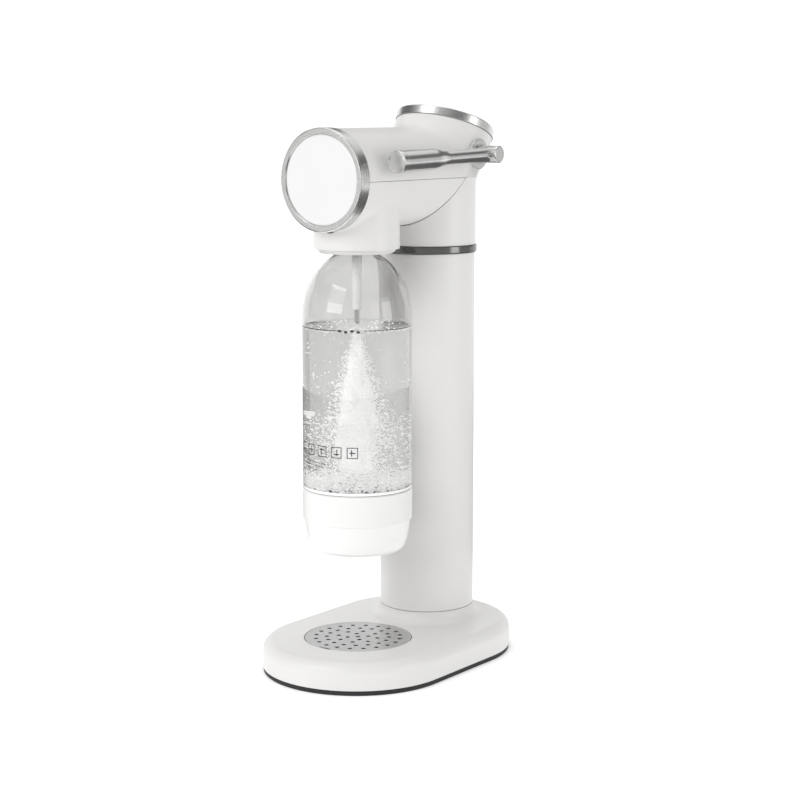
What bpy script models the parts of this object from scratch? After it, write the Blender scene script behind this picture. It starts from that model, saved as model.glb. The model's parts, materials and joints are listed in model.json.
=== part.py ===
"""Countertop soda carbonator with a side lever, a screw-in bottle and a gas cylinder inside its column.

The frame: origin at the middle of the base's footprint, on the table; +Z up, the bottle at the front (-Y),
the lever on the +X side. Each piece that can be taken off a bench as one item is its own object.
"""

import math

import bmesh
import bpy
from mathutils import Matrix, Vector

MM = 0.001

# ---------------------------------------------------------------- driving dimensions
GAP = 0.3 * MM  # kept between pieces that rest on or fit in each other
WALL = 2.5 * MM  # moulded housings
ROUND = 36  # sides of a large round piece
SMALL_ROUND = 12  # sides of a shaft, screw or seal

BASE_LENGTH = 230 * MM
BASE_WIDTH = 150 * MM
BASE_TOP = 25.4 * MM
BASE_EDGE_RADIUS = 9 * MM
FOOT_HEIGHT = 3.6 * MM
FOOT_WIDTH = 13.5 * MM
PLATE_THICKNESS = 2.1 * MM

GRILLE_RADIUS = 42 * MM
GRILLE_THICKNESS = 0.8 * MM
GRILLE_HOLE_RADIUS = 1.6 * MM
GRILLE_RINGS = ((0.0, 1), (8.2 * MM, 4), (15.7 * MM, 8), (24.6 * MM, 16), (33.4 * MM, 20))
CUP_DEPTH = 16 * MM
CUP_WALL = 1.2 * MM

BOTTLE_Y = -40 * MM  # the bottle, nozzle and drip tray share this vertical axis
COLUMN_Y = 52 * MM  # the column, gas cylinder and valve share this one
COLUMN_RADIUS = 38 * MM
COLUMN_FOOT = 35 * MM
COLUMN_TOP = 323.4 * MM
FLARE_RADIUS = 9 * MM
SPIGOT_LENGTH = 18 * MM
TRIM_HEIGHT = 5.7 * MM
TRIM_PROUD = 1.7 * MM
NECK_PROUD = 0.4 * MM  # of the neck past the barrel, where the two pipes meet

BARREL_Z = 384 * MM
BARREL_RADIUS = 38.3 * MM
BARREL_FRONT = -73.2 * MM
SEAM_DROP = 1.0 * MM  # the head's parting line lies this far under the barrel's axis
RING_PROUD = 0.6 * MM
RING_DEPTH = 10 * MM
RING_FACE = 5.0 * MM
DISC_THICKNESS = 3.2 * MM

RIM_Y = 77 * MM  # centre of the top rim's upper face
RIM_Z = 426.3 * MM
RIM_TILT = math.radians(20.4)
RIM_RADIUS = 40 * MM
RIM_DEPTH = 7.5 * MM
STUB_TOP_RADIUS = 39.4 * MM

BOSS_RADIUS = 33 * MM
BOSS_BOTTOM = 331.2 * MM
COLLAR_RADIUS = 30.2 * MM
COLLAR_BOTTOM = 327.8 * MM

MOUTH_Z = 342 * MM
NECK_OUTER = 13.6 * MM
NECK_INNER = 11.4 * MM
BOTTLE_RADIUS = 42.15 * MM
BOTTLE_WALL = 1.4 * MM
SHOULDER_START = 278 * MM
SHOULDER_HEIGHT = 53 * MM
BOTTLE_CUP_TOP = 145.6 * MM
BOTTLE_CUP_SEAM = 121.5 * MM
BOTTLE_BOTTOM = 97 * MM
TUBE_TIP = 273.3 * MM

CYLINDER_PLAY = 3 * MM
CYLINDER_BOTTOM = 8 * MM
CYLINDER_SHOULDER = 312 * MM
CYLINDER_NECK = 336 * MM
CYLINDER_WALL = 3.4 * MM
VALVE_TOP = 370 * MM
VALVE_THREAD_RADIUS = 10.5 * MM
VALVE_STEM_RADIUS = 6.6 * MM

PIVOT_Y = 66 * MM
PIVOT_Z = 401 * MM
SHAFT_RADIUS = 4 * MM
SHAFT_PLAY = 0.2 * MM
LEVER_STANDOFF = 11.7 * MM  # from the barrel's side to the lever's line
LEVER_LENGTH = 122 * MM
LEVER_DROOP = math.radians(1.6)
LEVER_HUB_RADIUS = 6.7 * MM
LEVER_HUB_REACH = 10 * MM  # of the hub past the lever's line
LEVER_NECK_RADIUS = 5.5 * MM
GRIP_RADIUS = 8.1 * MM
GRIP_LENGTH = 39 * MM
GRIP_TAPER = 19 * MM
END_CAP_RADIUS = 8.6 * MM
END_CAP_LENGTH = 4 * MM
FLANGE_RADIUS = 12 * MM
PUSH_ARM_LENGTH = 9 * MM
PUSH_NOSE_RADIUS = 4 * MM
PLUNGER_TRAVEL = 4.1 * MM

PILOT_RADIUS = 1.2 * MM
CLEARANCE_RADIUS = 1.8 * MM
CHASSIS_SCREW_REACH = 32 * MM
BLOCK_SCREW_X = 17.3 * MM
NOZZLE_SCREW_X = 24 * MM

# ---------------------------------------------------------------- sizes that follow
HALF_STRAIGHT = (BASE_LENGTH - BASE_WIDTH) / 2
HOUSING_BOTTOM = FOOT_HEIGHT + GAP
COLUMN_BORE = COLUMN_RADIUS - WALL
SPIGOT_RADIUS = COLUMN_BORE - GAP
SPIGOT_BORE = SPIGOT_RADIUS - WALL + GAP
CYLINDER_RADIUS = SPIGOT_BORE - CYLINDER_PLAY
NECK_RADIUS = BARREL_RADIUS + NECK_PROUD
RING_RADIUS = BARREL_RADIUS + RING_PROUD
LEVER_X = BARREL_RADIUS + LEVER_STANDOFF
LEVER_HUB_END = LEVER_X + LEVER_HUB_REACH
TRIM_BOTTOM = COLUMN_TOP + GAP
NECK_BOTTOM = TRIM_BOTTOM + TRIM_HEIGHT + GAP
SEAM_Z = BARREL_Z - SEAM_DROP
RIM_AXIS = Vector((0, math.sin(RIM_TILT), math.cos(RIM_TILT)))
RIM_BASE = Vector((0, RIM_Y, RIM_Z)) - RIM_AXIS * RIM_DEPTH
JUNCTION = Vector((0, COLUMN_Y, BARREL_Z))
CHASSIS_Z = NECK_BOTTOM + 12 * MM
CHASSIS_THICKNESS = 3.5 * MM
BLOCK_BOTTOM = CHASSIS_Z + CHASSIS_THICKNESS + GAP
BLOCK_TOP = VALVE_TOP + 14 * MM
BLOCK_RADIUS = 13.5 * MM
BLOCK_FLANGE_RADIUS = 20.5 * MM
BLOCK_PORT_Z = BLOCK_TOP - 6 * MM
SEAL_THICKNESS = 1.6 * MM
PLUNGER_RADIUS = 3.6 * MM
PLUNGER_TOP = PIVOT_Z - PUSH_NOSE_RADIUS - 0.4 * MM
PLUNGER_PAD = 3.4 * MM
NOZZLE_BOTTOM = MOUTH_Z + 3.2 * MM
LEDGE_BOTTOM = NOZZLE_BOTTOM - 9.2 * MM
NOZZLE_TOP = NOZZLE_BOTTOM + 20 * MM
NOZZLE_PORT_Z = NOZZLE_TOP - 8 * MM
EAR_X = 21.2 * MM
EAR_THICKNESS = 3 * MM
BUSHING_RADIUS = 6.2 * MM
EAR_SPAN = EAR_X + EAR_THICKNESS + 2 * MM


# ---------------------------------------------------------------- helpers
def clear_scene():
    for obj in list(bpy.data.objects):
        bpy.data.objects.remove(obj)


def material(name, colour, roughness, metallic=0.0, alpha=1.0):
    made = bpy.data.materials.new(name)
    made.use_nodes = True
    shader = made.node_tree.nodes["Principled BSDF"]
    shader.inputs["Base Color"].default_value = (*colour, 1.0)
    shader.inputs["Roughness"].default_value = roughness
    shader.inputs["Metallic"].default_value = metallic
    shader.inputs["Alpha"].default_value = alpha
    return made


def add_object(name, bm, finish=None, at=(0, 0, 0), turn=(0, 0, 0), parent=None):
    """Closes the bmesh into a named object with outward faces and smooth round sides."""
    bmesh.ops.remove_doubles(bm, verts=bm.verts, dist=1e-6)
    bmesh.ops.recalc_face_normals(bm, faces=bm.faces)
    mesh = bpy.data.meshes.new(name)
    bm.to_mesh(mesh)
    bm.free()
    mesh.shade_smooth()
    mesh.set_sharp_from_angle(angle=math.radians(32))
    obj = bpy.data.objects.new(name, mesh)
    bpy.context.scene.collection.objects.link(obj)
    obj.location = at
    obj.rotation_euler = turn
    obj.parent = parent
    if finish:
        mesh.materials.append(finish)
    return obj


def turned(name, profile, finish=None, sides=SMALL_ROUND, twist=0.0, **place):
    """Spins (radius, height) points about the local Z axis, from local +X turned on by twist.

    A profile that starts and ends on the axis closes itself there; any other is a closed ring section.
    """
    bm = bmesh.new()
    verts = [bm.verts.new((r, 0, z)) for r, z in profile]
    on_axis = profile[0][0] == 0 and profile[-1][0] == 0
    ends = verts[1:] if on_axis else verts[1:] + verts[:1]
    edges = [bm.edges.new(pair) for pair in zip(verts, ends)]
    bmesh.ops.spin(
        bm, geom=verts + edges, cent=(0, 0, 0), axis=(0, 0, 1), angle=2 * math.pi, steps=sides, use_merge=True
    )
    bmesh.ops.rotate(bm, verts=bm.verts, cent=(0, 0, 0), matrix=Matrix.Rotation(twist, 3, "Z"))
    return add_object(name, bm, finish, **place)


def rod(name, radius, low, high, finish=None, sides=SMALL_ROUND, **place):
    return turned(name, [(0, low), (radius, low), (radius, high), (0, high)], finish, sides, **place)


def hole(name, radius, low, high, sides=10, **place):
    """A rod to cut a hole with, turned so that its corners keep off its neighbours' edges."""
    profile = [(0, low), (radius, low), (radius, high), (0, high)]
    return turned(name, profile, None, sides, 0.4 * math.pi / sides, **place)


def ring(name, inner, outer, low, high, finish=None, sides=SMALL_ROUND, **place):
    profile = [(inner, low), (outer, low), (outer, high), (inner, high)]
    return turned(name, profile, finish, sides, **place)


def lofted(name, loops, finish=None, closed=False, **place):
    """Faces between successive loops of points; the ends are capped unless the last loop meets the first."""
    bm = bmesh.new()
    rings = [[bm.verts.new(p) for p in loop] for loop in loops]
    count = len(rings[0])
    pairs = list(zip(rings, rings[1:]))
    if closed:
        pairs.append((rings[-1], rings[0]))
    for low, high in pairs:
        for i in range(count):
            j = (i + 1) % count
            bm.faces.new((low[i], low[j], high[j], high[i]))
    if not closed:
        bm.faces.new(rings[0][::-1])
        bm.faces.new(rings[-1])
    return add_object(name, bm, finish, **place)


def box(name, low, high, **place):
    (x0, y0, z0), (x1, y1, z1) = low, high
    square = [(x0, y0), (x1, y0), (x1, y1), (x0, y1)]
    return lofted(name, [[(x, y, z0) for x, y in square], [(x, y, z1) for x, y in square]], **place)


def slab_across_x(name, outline, half_width):
    """A prism along X from (y, z) points."""
    return lofted(name, [[(x, y, z) for y, z in outline] for x in (-half_width, half_width)])


def combine(obj, other, operation):
    """Adds a Boolean and turns the other object into a hidden guide."""
    step = obj.modifiers.new(other.name, "BOOLEAN")
    step.object = other
    step.operation = operation
    step.solver = "EXACT"
    other.hide_render = True
    other.display_type = "WIRE"
    return obj


def cut(obj, *others):
    for other in others:
        combine(obj, other, "DIFFERENCE")
    return obj


def join(obj, *others):
    for other in others:
        combine(obj, other, "UNION")
    return obj


def keep_inside(obj, region):
    return combine(obj, region, "INTERSECT")


def arc(centre, radius, start, end, steps):
    """(radius, height) points along an arc, angles in degrees."""
    angles = [math.radians(start + (end - start) * i / steps) for i in range(steps + 1)]
    return [(centre[0] + radius * math.cos(a), centre[1] + radius * math.sin(a)) for a in angles]


def stadium(inset, z, per_end=14):
    """The base's outline, moved inwards by inset."""
    radius = BASE_WIDTH / 2 - inset
    points = []
    for centre_y, start in ((HALF_STRAIGHT, 0.0), (-HALF_STRAIGHT, math.pi)):
        for i in range(per_end + 1):
            a = start + math.pi * i / per_end
            points.append((radius * math.cos(a), centre_y + radius * math.sin(a), z))
    return points


def tube_curve(name, points, radius, finish, sides_resolution=2, **place):
    curve = bpy.data.curves.new(name, "CURVE")
    curve.dimensions = "3D"
    curve.bevel_depth = radius
    curve.bevel_resolution = sides_resolution
    curve.use_fill_caps = True
    spline = curve.splines.new("POLY")
    spline.points.add(len(points) - 1)
    for target, p in zip(spline.points, points):
        target.co = (*p, 1)
    curve.materials.append(finish)
    obj = bpy.data.objects.new(name, curve)
    bpy.context.scene.collection.objects.link(obj)
    obj.location = place.get("at", (0, 0, 0))
    return obj


def coil(name, radius, wire, low, high, turns, finish, per_turn=9, **place):
    """A compression spring's wire along +Z, between low and high."""
    steps = int(turns * per_turn)
    points = []
    for i in range(steps + 1):
        a = 2 * math.pi * i / per_turn
        z = low + wire + (high - low - 2 * wire) * i / steps
        points.append((radius * math.cos(a), radius * math.sin(a), z))
    return tube_curve(name, points, wire, finish, 0, **place)


def screw(name, head_radius, head_height, shank_radius, length, finish, **place):
    """A pan-head screw pointing along local +Z, its head's underside at z = 0."""
    socket = head_radius * 0.45
    profile = [
        (0, -head_height * 0.45), (socket, -head_height * 0.45), (socket, -head_height),
        (head_radius * 0.8, -head_height), (head_radius, -head_height * 0.6), (head_radius, 0),
        (shank_radius, 0), (0, length),
    ]
    return turned(name, profile, finish, 8, **place)


TURN_TO_X = (0, math.pi / 2, 0)  # local +Z along +X
TURN_TO_Y = (-math.pi / 2, 0, 0)  # local +Z along +Y
TURN_TO_MINUS_Y = (math.pi / 2, 0, 0)


# ---------------------------------------------------------------- base
def screw_places():
    """Where the base plate's screws and the housing's bosses stand."""
    x = BASE_WIDTH / 2 - FOOT_WIDTH - 7.5 * MM
    return [(side * x, y) for side in (-1, 1) for y in (-HALF_STRAIGHT - 15 * MM, HALF_STRAIGHT + 5 * MM)]


def make_base(white, dark_rubber, grey, steel):
    edge_steps = 3
    top_outer = BASE_TOP - BASE_EDGE_RADIUS
    inner_radius = BASE_EDGE_RADIUS - WALL
    loops = []
    for i in range(edge_steps, -1, -1):
        a = math.pi / 2 * i / edge_steps
        inset = BASE_EDGE_RADIUS * (1 - math.cos(a))
        loops.append(stadium(inset, top_outer + BASE_EDGE_RADIUS * math.sin(a)))
    loops.append(stadium(0, HOUSING_BOTTOM))
    loops.append(stadium(WALL, HOUSING_BOTTOM))
    for i in range(edge_steps + 1):
        a = math.pi / 2 * i / edge_steps
        inset = WALL + inner_radius * (1 - math.cos(a))
        loops.append(stadium(inset, top_outer + inner_radius * math.sin(a)))
    housing = lofted("base_housing", loops, white)

    flare_centre = (COLUMN_RADIUS + FLARE_RADIUS, BASE_TOP + FLARE_RADIUS - 0.4 * MM)
    lip_angle = 180 + math.degrees(math.asin((flare_centre[1] - COLUMN_FOOT) / FLARE_RADIUS))
    socket_outer = SPIGOT_RADIUS + GAP + WALL
    socket = turned(
        "guide_column_socket",
        [(SPIGOT_RADIUS + GAP, HOUSING_BOTTOM), (socket_outer, HOUSING_BOTTOM),
         (socket_outer, BASE_TOP - 2 * MM), (flare_centre[0], BASE_TOP - 2 * MM)]
        + arc(flare_centre, FLARE_RADIUS, 270, lip_angle, 5)
        + [(SPIGOT_RADIUS + GAP, COLUMN_FOOT)],
        sides=ROUND, at=(0, COLUMN_Y, 0),
    )
    well_ledge = BASE_TOP - 2.6 * MM
    well = ring("guide_well", GRILLE_RADIUS - 2.2 * MM, GRILLE_RADIUS + 3 * MM, well_ledge - 4 * MM,
                BASE_TOP - 0.6 * MM, sides=ROUND, at=(0, BOTTLE_Y, 0))
    bosses = [
        rod(f"guide_boss_{i}", 4 * MM, HOUSING_BOTTOM + PLATE_THICKNESS + GAP, BASE_TOP - MM, at=(x, y, 0))
        for i, (x, y) in enumerate(screw_places())
    ]
    column_hole = rod("guide_column_hole", SPIGOT_RADIUS + GAP, -MM, COLUMN_FOOT + 5 * MM,
                      sides=ROUND, at=(0, COLUMN_Y, 0))
    recess = rod("guide_recess", GRILLE_RADIUS + 0.5 * MM, well_ledge, BASE_TOP + MM, sides=ROUND,
                 at=(0, BOTTLE_Y, 0))
    pilots = [
        hole(f"guide_pilot_{i}", 1.4 * MM, 0, HOUSING_BOTTOM + 12 * MM, at=(x, y, 0))
        for i, (x, y) in enumerate(screw_places())
    ]
    join(housing, socket, well, *bosses)
    cut(housing, column_hole, recess, *pilots)

    plate = lofted(
        "base_plate",
        [stadium(WALL + GAP, HOUSING_BOTTOM), stadium(WALL + GAP, HOUSING_BOTTOM + PLATE_THICKNESS)], grey,
    )
    cut(plate, rod("guide_plate_hole", socket_outer + GAP, 0, 20 * MM, sides=ROUND, at=(0, COLUMN_Y, 0)))
    for i, (x, y) in enumerate(screw_places()):
        cut(plate, hole(f"guide_clearance_{i}", CLEARANCE_RADIUS, 0, 20 * MM, at=(x, y, 0)))
        screw(f"base_screw_{i + 1}", 3 * MM, 1.7 * MM, 1.1 * MM, 11 * MM, steel,
              at=(x, y, HOUSING_BOTTOM - GAP / 2))
    foot_bevel = 0.5 * MM
    lofted(
        "foot_ring",
        [stadium(0.4 * MM + foot_bevel, 0), stadium(0.4 * MM, foot_bevel), stadium(0.4 * MM, FOOT_HEIGHT),
         stadium(FOOT_WIDTH, FOOT_HEIGHT), stadium(FOOT_WIDTH, 0)],
        dark_rubber, closed=True,
    )


def make_drip_tray(steel, grey):
    rim_bottom = BASE_TOP - 2.6 * MM + GAP
    wall_radius = GRILLE_RADIUS - 2.2 * MM - GAP
    floor = rim_bottom - CUP_DEPTH
    turned(
        "drip_cup",
        [(0, floor), (wall_radius - 2 * MM, floor), (wall_radius, floor + 2 * MM), (wall_radius, rim_bottom),
         (GRILLE_RADIUS, rim_bottom), (GRILLE_RADIUS, rim_bottom + 0.8 * MM),
         (wall_radius - CUP_WALL, rim_bottom + 0.8 * MM), (wall_radius - CUP_WALL, floor + 2.4 * MM),
         (wall_radius - CUP_WALL - 1.2 * MM, floor + CUP_WALL), (0, floor + CUP_WALL)],
        grey, ROUND, at=(0, BOTTLE_Y, 0),
    )
    low = rim_bottom + 0.8 * MM + GAP
    grille = rod("drip_grille", GRILLE_RADIUS, low, low + GRILLE_THICKNESS, steel, ROUND, at=(0, BOTTLE_Y, 0))
    bm = bmesh.new()
    for radius, count in GRILLE_RINGS:
        for i in range(count):
            a = 2 * math.pi * (i + 0.5) / count
            matrix = Matrix.Translation((radius * math.cos(a), BOTTLE_Y + radius * math.sin(a), low))
            bmesh.ops.create_cone(bm, cap_ends=True, segments=6, radius1=GRILLE_HOLE_RADIUS,
                                  radius2=GRILLE_HOLE_RADIUS, depth=4 * MM, matrix=matrix)
    notch_radius, notch_depth = 10 * MM, 2.6 * MM
    cut(grille, add_object("guide_grille_holes", bm),
        rod("guide_finger_notch", notch_radius, 0, 40 * MM, sides=24,
            at=(0, BOTTLE_Y - GRILLE_RADIUS - notch_radius + notch_depth, 0)))


# ---------------------------------------------------------------- column
def make_column(white, chrome):
    turned(
        "column_shell",
        [(SPIGOT_RADIUS, HOUSING_BOTTOM + 3 * MM), (SPIGOT_RADIUS, COLUMN_FOOT + GAP),
         (COLUMN_RADIUS, COLUMN_FOOT + GAP), (COLUMN_RADIUS, COLUMN_TOP), (COLUMN_BORE, COLUMN_TOP),
         (COLUMN_BORE, COLUMN_FOOT + 10 * MM), (SPIGOT_BORE, COLUMN_FOOT + 8 * MM),
         (SPIGOT_BORE, HOUSING_BOTTOM + 3 * MM)],
        white, ROUND, at=(0, COLUMN_Y, 0),
    )
    outer = COLUMN_RADIUS + TRIM_PROUD
    bevel = 0.5 * MM
    turned(
        "column_trim_ring",
        [(COLUMN_BORE, 0), (outer - bevel, 0), (outer, bevel), (outer, TRIM_HEIGHT - bevel),
         (outer - bevel, TRIM_HEIGHT), (COLUMN_BORE, TRIM_HEIGHT)],
        chrome, ROUND, at=(0, COLUMN_Y, TRIM_BOTTOM),
    )


# ---------------------------------------------------------------- head housings
def tilted_circle(centre, radius):
    """A circle in a plane parallel to the top rim."""
    across = Vector((1, 0, 0))
    along = RIM_AXIS.cross(across)
    angles = [2 * math.pi * i / ROUND for i in range(ROUND)]
    return [centre + radius * (math.cos(a) * across + math.sin(a) * along) for a in angles]


def make_stub(name, inset, past_top=0.0):
    """The short leaning pipe between the pipes' meeting point and the top rim."""
    lean = (RIM_BASE - JUNCTION).normalized()
    top = RIM_BASE + lean * past_top
    return lofted(name, [tilted_circle(JUNCTION, BARREL_RADIUS - 0.15 * MM - inset),
                         tilted_circle(top, STUB_TOP_RADIUS - inset)])


def make_barrel(name, inset, front, back=COLUMN_Y + BARREL_RADIUS):
    return rod(name, BARREL_RADIUS - inset, front, back, sides=ROUND, at=(0, 0, BARREL_Z), turn=TURN_TO_Y)


def mitre(y, side):
    """Height of the 45 degree cut where barrel and neck meet; side is +1 above it and -1 below it."""
    return BARREL_Z + (y - COLUMN_Y) + side * GAP * 0.7


def make_head(white, chrome, disc_white):
    reach, half = 70 * MM, 60 * MM
    far_back, far_front = 130 * MM, -90 * MM
    low_y, top_z = COLUMN_Y - reach, 470 * MM
    seam_top, seam_low = SEAM_Z + GAP / 2, SEAM_Z - GAP / 2

    upper = make_barrel("head_upper_shell", 0, BARREL_FRONT)
    upper.data.materials.append(white)
    front_of_mitre = [(far_front, seam_top), (COLUMN_Y - SEAM_DROP, seam_top),
                      (COLUMN_Y + reach, mitre(COLUMN_Y + reach, 1)), (far_front, top_z)]
    keep_inside(upper, slab_across_x("guide_upper_front", front_of_mitre, half))
    join(upper, make_stub("guide_stub", 0))
    keep_inside(upper, slab_across_x("guide_above_seam", [
        (far_front, seam_top), (far_back, seam_top), (far_back, top_z), (far_front, top_z)], half))
    above_rim = box("guide_above_rim", (-half, -half, 0), (half, half, 40 * MM), at=RIM_BASE,
                    turn=(-RIM_TILT, 0, 0))
    cut(upper, above_rim)
    bore_end = COLUMN_Y + 8 * MM  # inside the stub's own bore, short of its back wall
    cut(upper, make_barrel("guide_barrel_bore", WALL, far_front, bore_end),
        make_stub("guide_stub_bore", WALL, 4 * MM))
    cut(upper, hole("guide_shaft_hole", SHAFT_RADIUS + 2 * MM, 0, half, at=(0, PIVOT_Y, PIVOT_Z),
                    turn=TURN_TO_X))

    lower = make_barrel("head_lower_shell", 0, BARREL_FRONT)
    lower.data.materials.append(white)
    below_seam = [(far_front, seam_low), (far_front, 300 * MM), (low_y, 300 * MM), (low_y, mitre(low_y, 1)),
                  (COLUMN_Y - SEAM_DROP - GAP, mitre(COLUMN_Y - SEAM_DROP - GAP, 1) - GAP / 2)]
    keep_inside(lower, slab_across_x("guide_lower_front", below_seam, half))
    nozzle_at = (0, BOTTLE_Y, 0)
    boss = rod("guide_boss", BOSS_RADIUS, BOSS_BOTTOM, SEAM_Z - 10 * MM, sides=ROUND, at=nozzle_at)
    join(lower, boss)
    ledge_bore, boss_bore = 19.4 * MM, BOSS_RADIUS - WALL
    ledge_top = NOZZLE_BOTTOM - GAP
    stepped_bore = turned(
        "guide_boss_bore",
        [(0, 300 * MM), (boss_bore, 300 * MM), (boss_bore, LEDGE_BOTTOM), (ledge_bore, LEDGE_BOTTOM),
         (ledge_bore, ledge_top), (boss_bore, ledge_top), (boss_bore, SEAM_Z), (0, SEAM_Z)],
        sides=ROUND, at=nozzle_at,
    )
    cut(lower, make_barrel("guide_lower_bore", WALL, far_front), stepped_bore)
    for side in (-1, 1):
        cut(lower, hole(f"guide_nozzle_pilot_{side}", PILOT_RADIUS, LEDGE_BOTTOM + 2 * MM, NOZZLE_BOTTOM,
                       at=(side * NOZZLE_SCREW_X, BOTTLE_Y, 0)))

    spigot_bottom = COLUMN_TOP - SPIGOT_LENGTH
    neck = turned(
        "neck_shell",
        [(0, spigot_bottom), (SPIGOT_RADIUS, spigot_bottom), (SPIGOT_RADIUS, NECK_BOTTOM),
         (NECK_RADIUS, NECK_BOTTOM), (NECK_RADIUS, RIM_Z), (0, RIM_Z)],
        white, ROUND, at=(0, COLUMN_Y, 0),
    )
    join(neck, make_stub("guide_neck_stub", 0.1 * MM))
    below_mitre = [(low_y, 300 * MM), (far_back, 300 * MM), (far_back, seam_low), (COLUMN_Y, seam_low),
                   (COLUMN_Y - SEAM_DROP, mitre(COLUMN_Y - SEAM_DROP, -1)), (low_y, mitre(low_y, -1))]
    keep_inside(neck, slab_across_x("guide_neck_region", below_mitre, half))
    neck_bore, plate_bore = NECK_RADIUS - WALL, 28.5 * MM
    shelf_top, ledge_low, ledge_high = NECK_BOTTOM + 3 * MM, CHASSIS_Z - 6 * MM, CHASSIS_Z - GAP
    stepped_neck_bore = turned(
        "guide_neck_bore",
        [(0, 300 * MM), (SPIGOT_BORE, 300 * MM), (SPIGOT_BORE, shelf_top), (neck_bore, shelf_top),
         (neck_bore, ledge_low), (plate_bore, ledge_low), (plate_bore, ledge_high), (neck_bore, ledge_high),
         (neck_bore, 460 * MM), (0, 460 * MM)],
        sides=ROUND, at=(0, COLUMN_Y, 0),
    )
    cut(neck, stepped_neck_bore, make_stub("guide_neck_stub_bore", WALL, 4 * MM))
    for i, (x, y) in enumerate(chassis_screw_places()):
        cut(neck, hole(f"guide_neck_pilot_{i}", PILOT_RADIUS, CHASSIS_Z - 8 * MM, CHASSIS_Z,
                      at=(x, y, 0)))

    make_faced_ring("front_trim_ring", "front_disc", RING_RADIUS, RING_DEPTH,
                    BARREL_RADIUS - WALL - GAP, 6 * MM, chrome, disc_white,
                    at=(0, BARREL_FRONT - RING_DEPTH - GAP, BARREL_Z), turn=TURN_TO_Y)
    make_faced_ring("top_trim_ring", "top_disc", RIM_RADIUS, RIM_DEPTH - GAP,
                    STUB_TOP_RADIUS - WALL - 1.4 * MM, 3 * MM, chrome, disc_white,
                    at=(0, RIM_Y, RIM_Z), turn=(math.pi - RIM_TILT, 0, 0))


def make_faced_ring(ring_name, disc_name, radius, depth, spigot, spigot_length, chrome, disc_white, **place):
    """A metal end ring with a plain disc set in its face. Local +Z runs into the housing from the face."""
    bevel = 0.7 * MM
    face = radius - RING_FACE
    seat = 0.7 * MM + DISC_THICKNESS + GAP
    turned(
        ring_name,
        [(face, bevel), (face + bevel, 0), (radius - bevel, 0), (radius, bevel), (radius, depth),
         (spigot, depth), (spigot, depth + spigot_length), (spigot - 4 * MM, depth + spigot_length),
         (spigot - 4 * MM, seat), (face, seat)],
        chrome, ROUND, **place,
    )
    edge = face - GAP
    dome = [(edge * (1 - i / 3), 0.7 * MM - 0.5 * MM * (1 - (1 - i / 3) ** 2)) for i in range(4)]
    turned(disc_name, [(0, 0.7 * MM + DISC_THICKNESS), (edge, 0.7 * MM + DISC_THICKNESS)] + dome, disc_white,
           ROUND, **place)


# ---------------------------------------------------------------- chassis and gas path
def chassis_screw_places():
    """Three screws round the chassis plate, clear of its ears."""
    angles = [math.radians(a) for a in (90, 210, 330)]
    return [(CHASSIS_SCREW_REACH * math.cos(a), COLUMN_Y + CHASSIS_SCREW_REACH * math.sin(a)) for a in angles]


def make_chassis(zinc, bronze, steel):
    at = (0, COLUMN_Y, 0)
    plate_radius = NECK_RADIUS - WALL - GAP
    chassis = ring("head_chassis", VALVE_THREAD_RADIUS + 3.6 * MM, plate_radius, CHASSIS_Z,
                   CHASSIS_Z + CHASSIS_THICKNESS, zinc, ROUND, at=at)
    ear_top = PIVOT_Z + BUSHING_RADIUS + 4 * MM
    for side in (-1, 1):
        inner, outer = side * EAR_X, side * (EAR_X + EAR_THICKNESS)
        low_x, high_x = min(inner, outer), max(inner, outer)
        ear = box(f"guide_ear_{side}", (low_x, PIVOT_Y - 10 * MM, CHASSIS_Z + 1 * MM),
                  (high_x, PIVOT_Y + 10 * MM, ear_top))
        join(chassis, ear)
    cut(chassis, hole("guide_ear_holes", BUSHING_RADIUS + GAP, -EAR_SPAN, EAR_SPAN, 24,
                      at=(0, PIVOT_Y, PIVOT_Z), turn=TURN_TO_X))
    for i, (x, y) in enumerate(chassis_screw_places()):
        cut(chassis, hole(f"guide_chassis_hole_{i}", CLEARANCE_RADIUS, CHASSIS_Z - MM, CHASSIS_Z + 8 * MM,
                         at=(x, y, 0)))
        screw(f"chassis_screw_{i + 1}", 2.8 * MM, 1.8 * MM, 1.0 * MM, CHASSIS_THICKNESS + 5 * MM, steel,
              at=(x, y, CHASSIS_Z + CHASSIS_THICKNESS + GAP / 2), turn=(math.pi, 0, 0))
    for i, side in enumerate((-1, 1)):
        cut(chassis, hole(f"guide_block_pilot_{i}", PILOT_RADIUS, CHASSIS_Z - MM, CHASSIS_Z + 8 * MM,
                         at=(side * BLOCK_SCREW_X, COLUMN_Y, 0)))
        inside = side * (EAR_X - 1.5 * MM)
        turned(
            f"shaft_bushing_{'right' if side > 0 else 'left'}",
            [(SHAFT_RADIUS + SHAFT_PLAY, 0), (BUSHING_RADIUS + 2 * MM, 0),
             (BUSHING_RADIUS + 2 * MM, 1.2 * MM), (BUSHING_RADIUS, 1.2 * MM),
             (BUSHING_RADIUS, EAR_THICKNESS + 2 * MM),
             (SHAFT_RADIUS + SHAFT_PLAY, EAR_THICKNESS + 2 * MM)],
            bronze, at=(inside, PIVOT_Y, PIVOT_Z), turn=(0, side * math.pi / 2, 0),
        )


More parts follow.
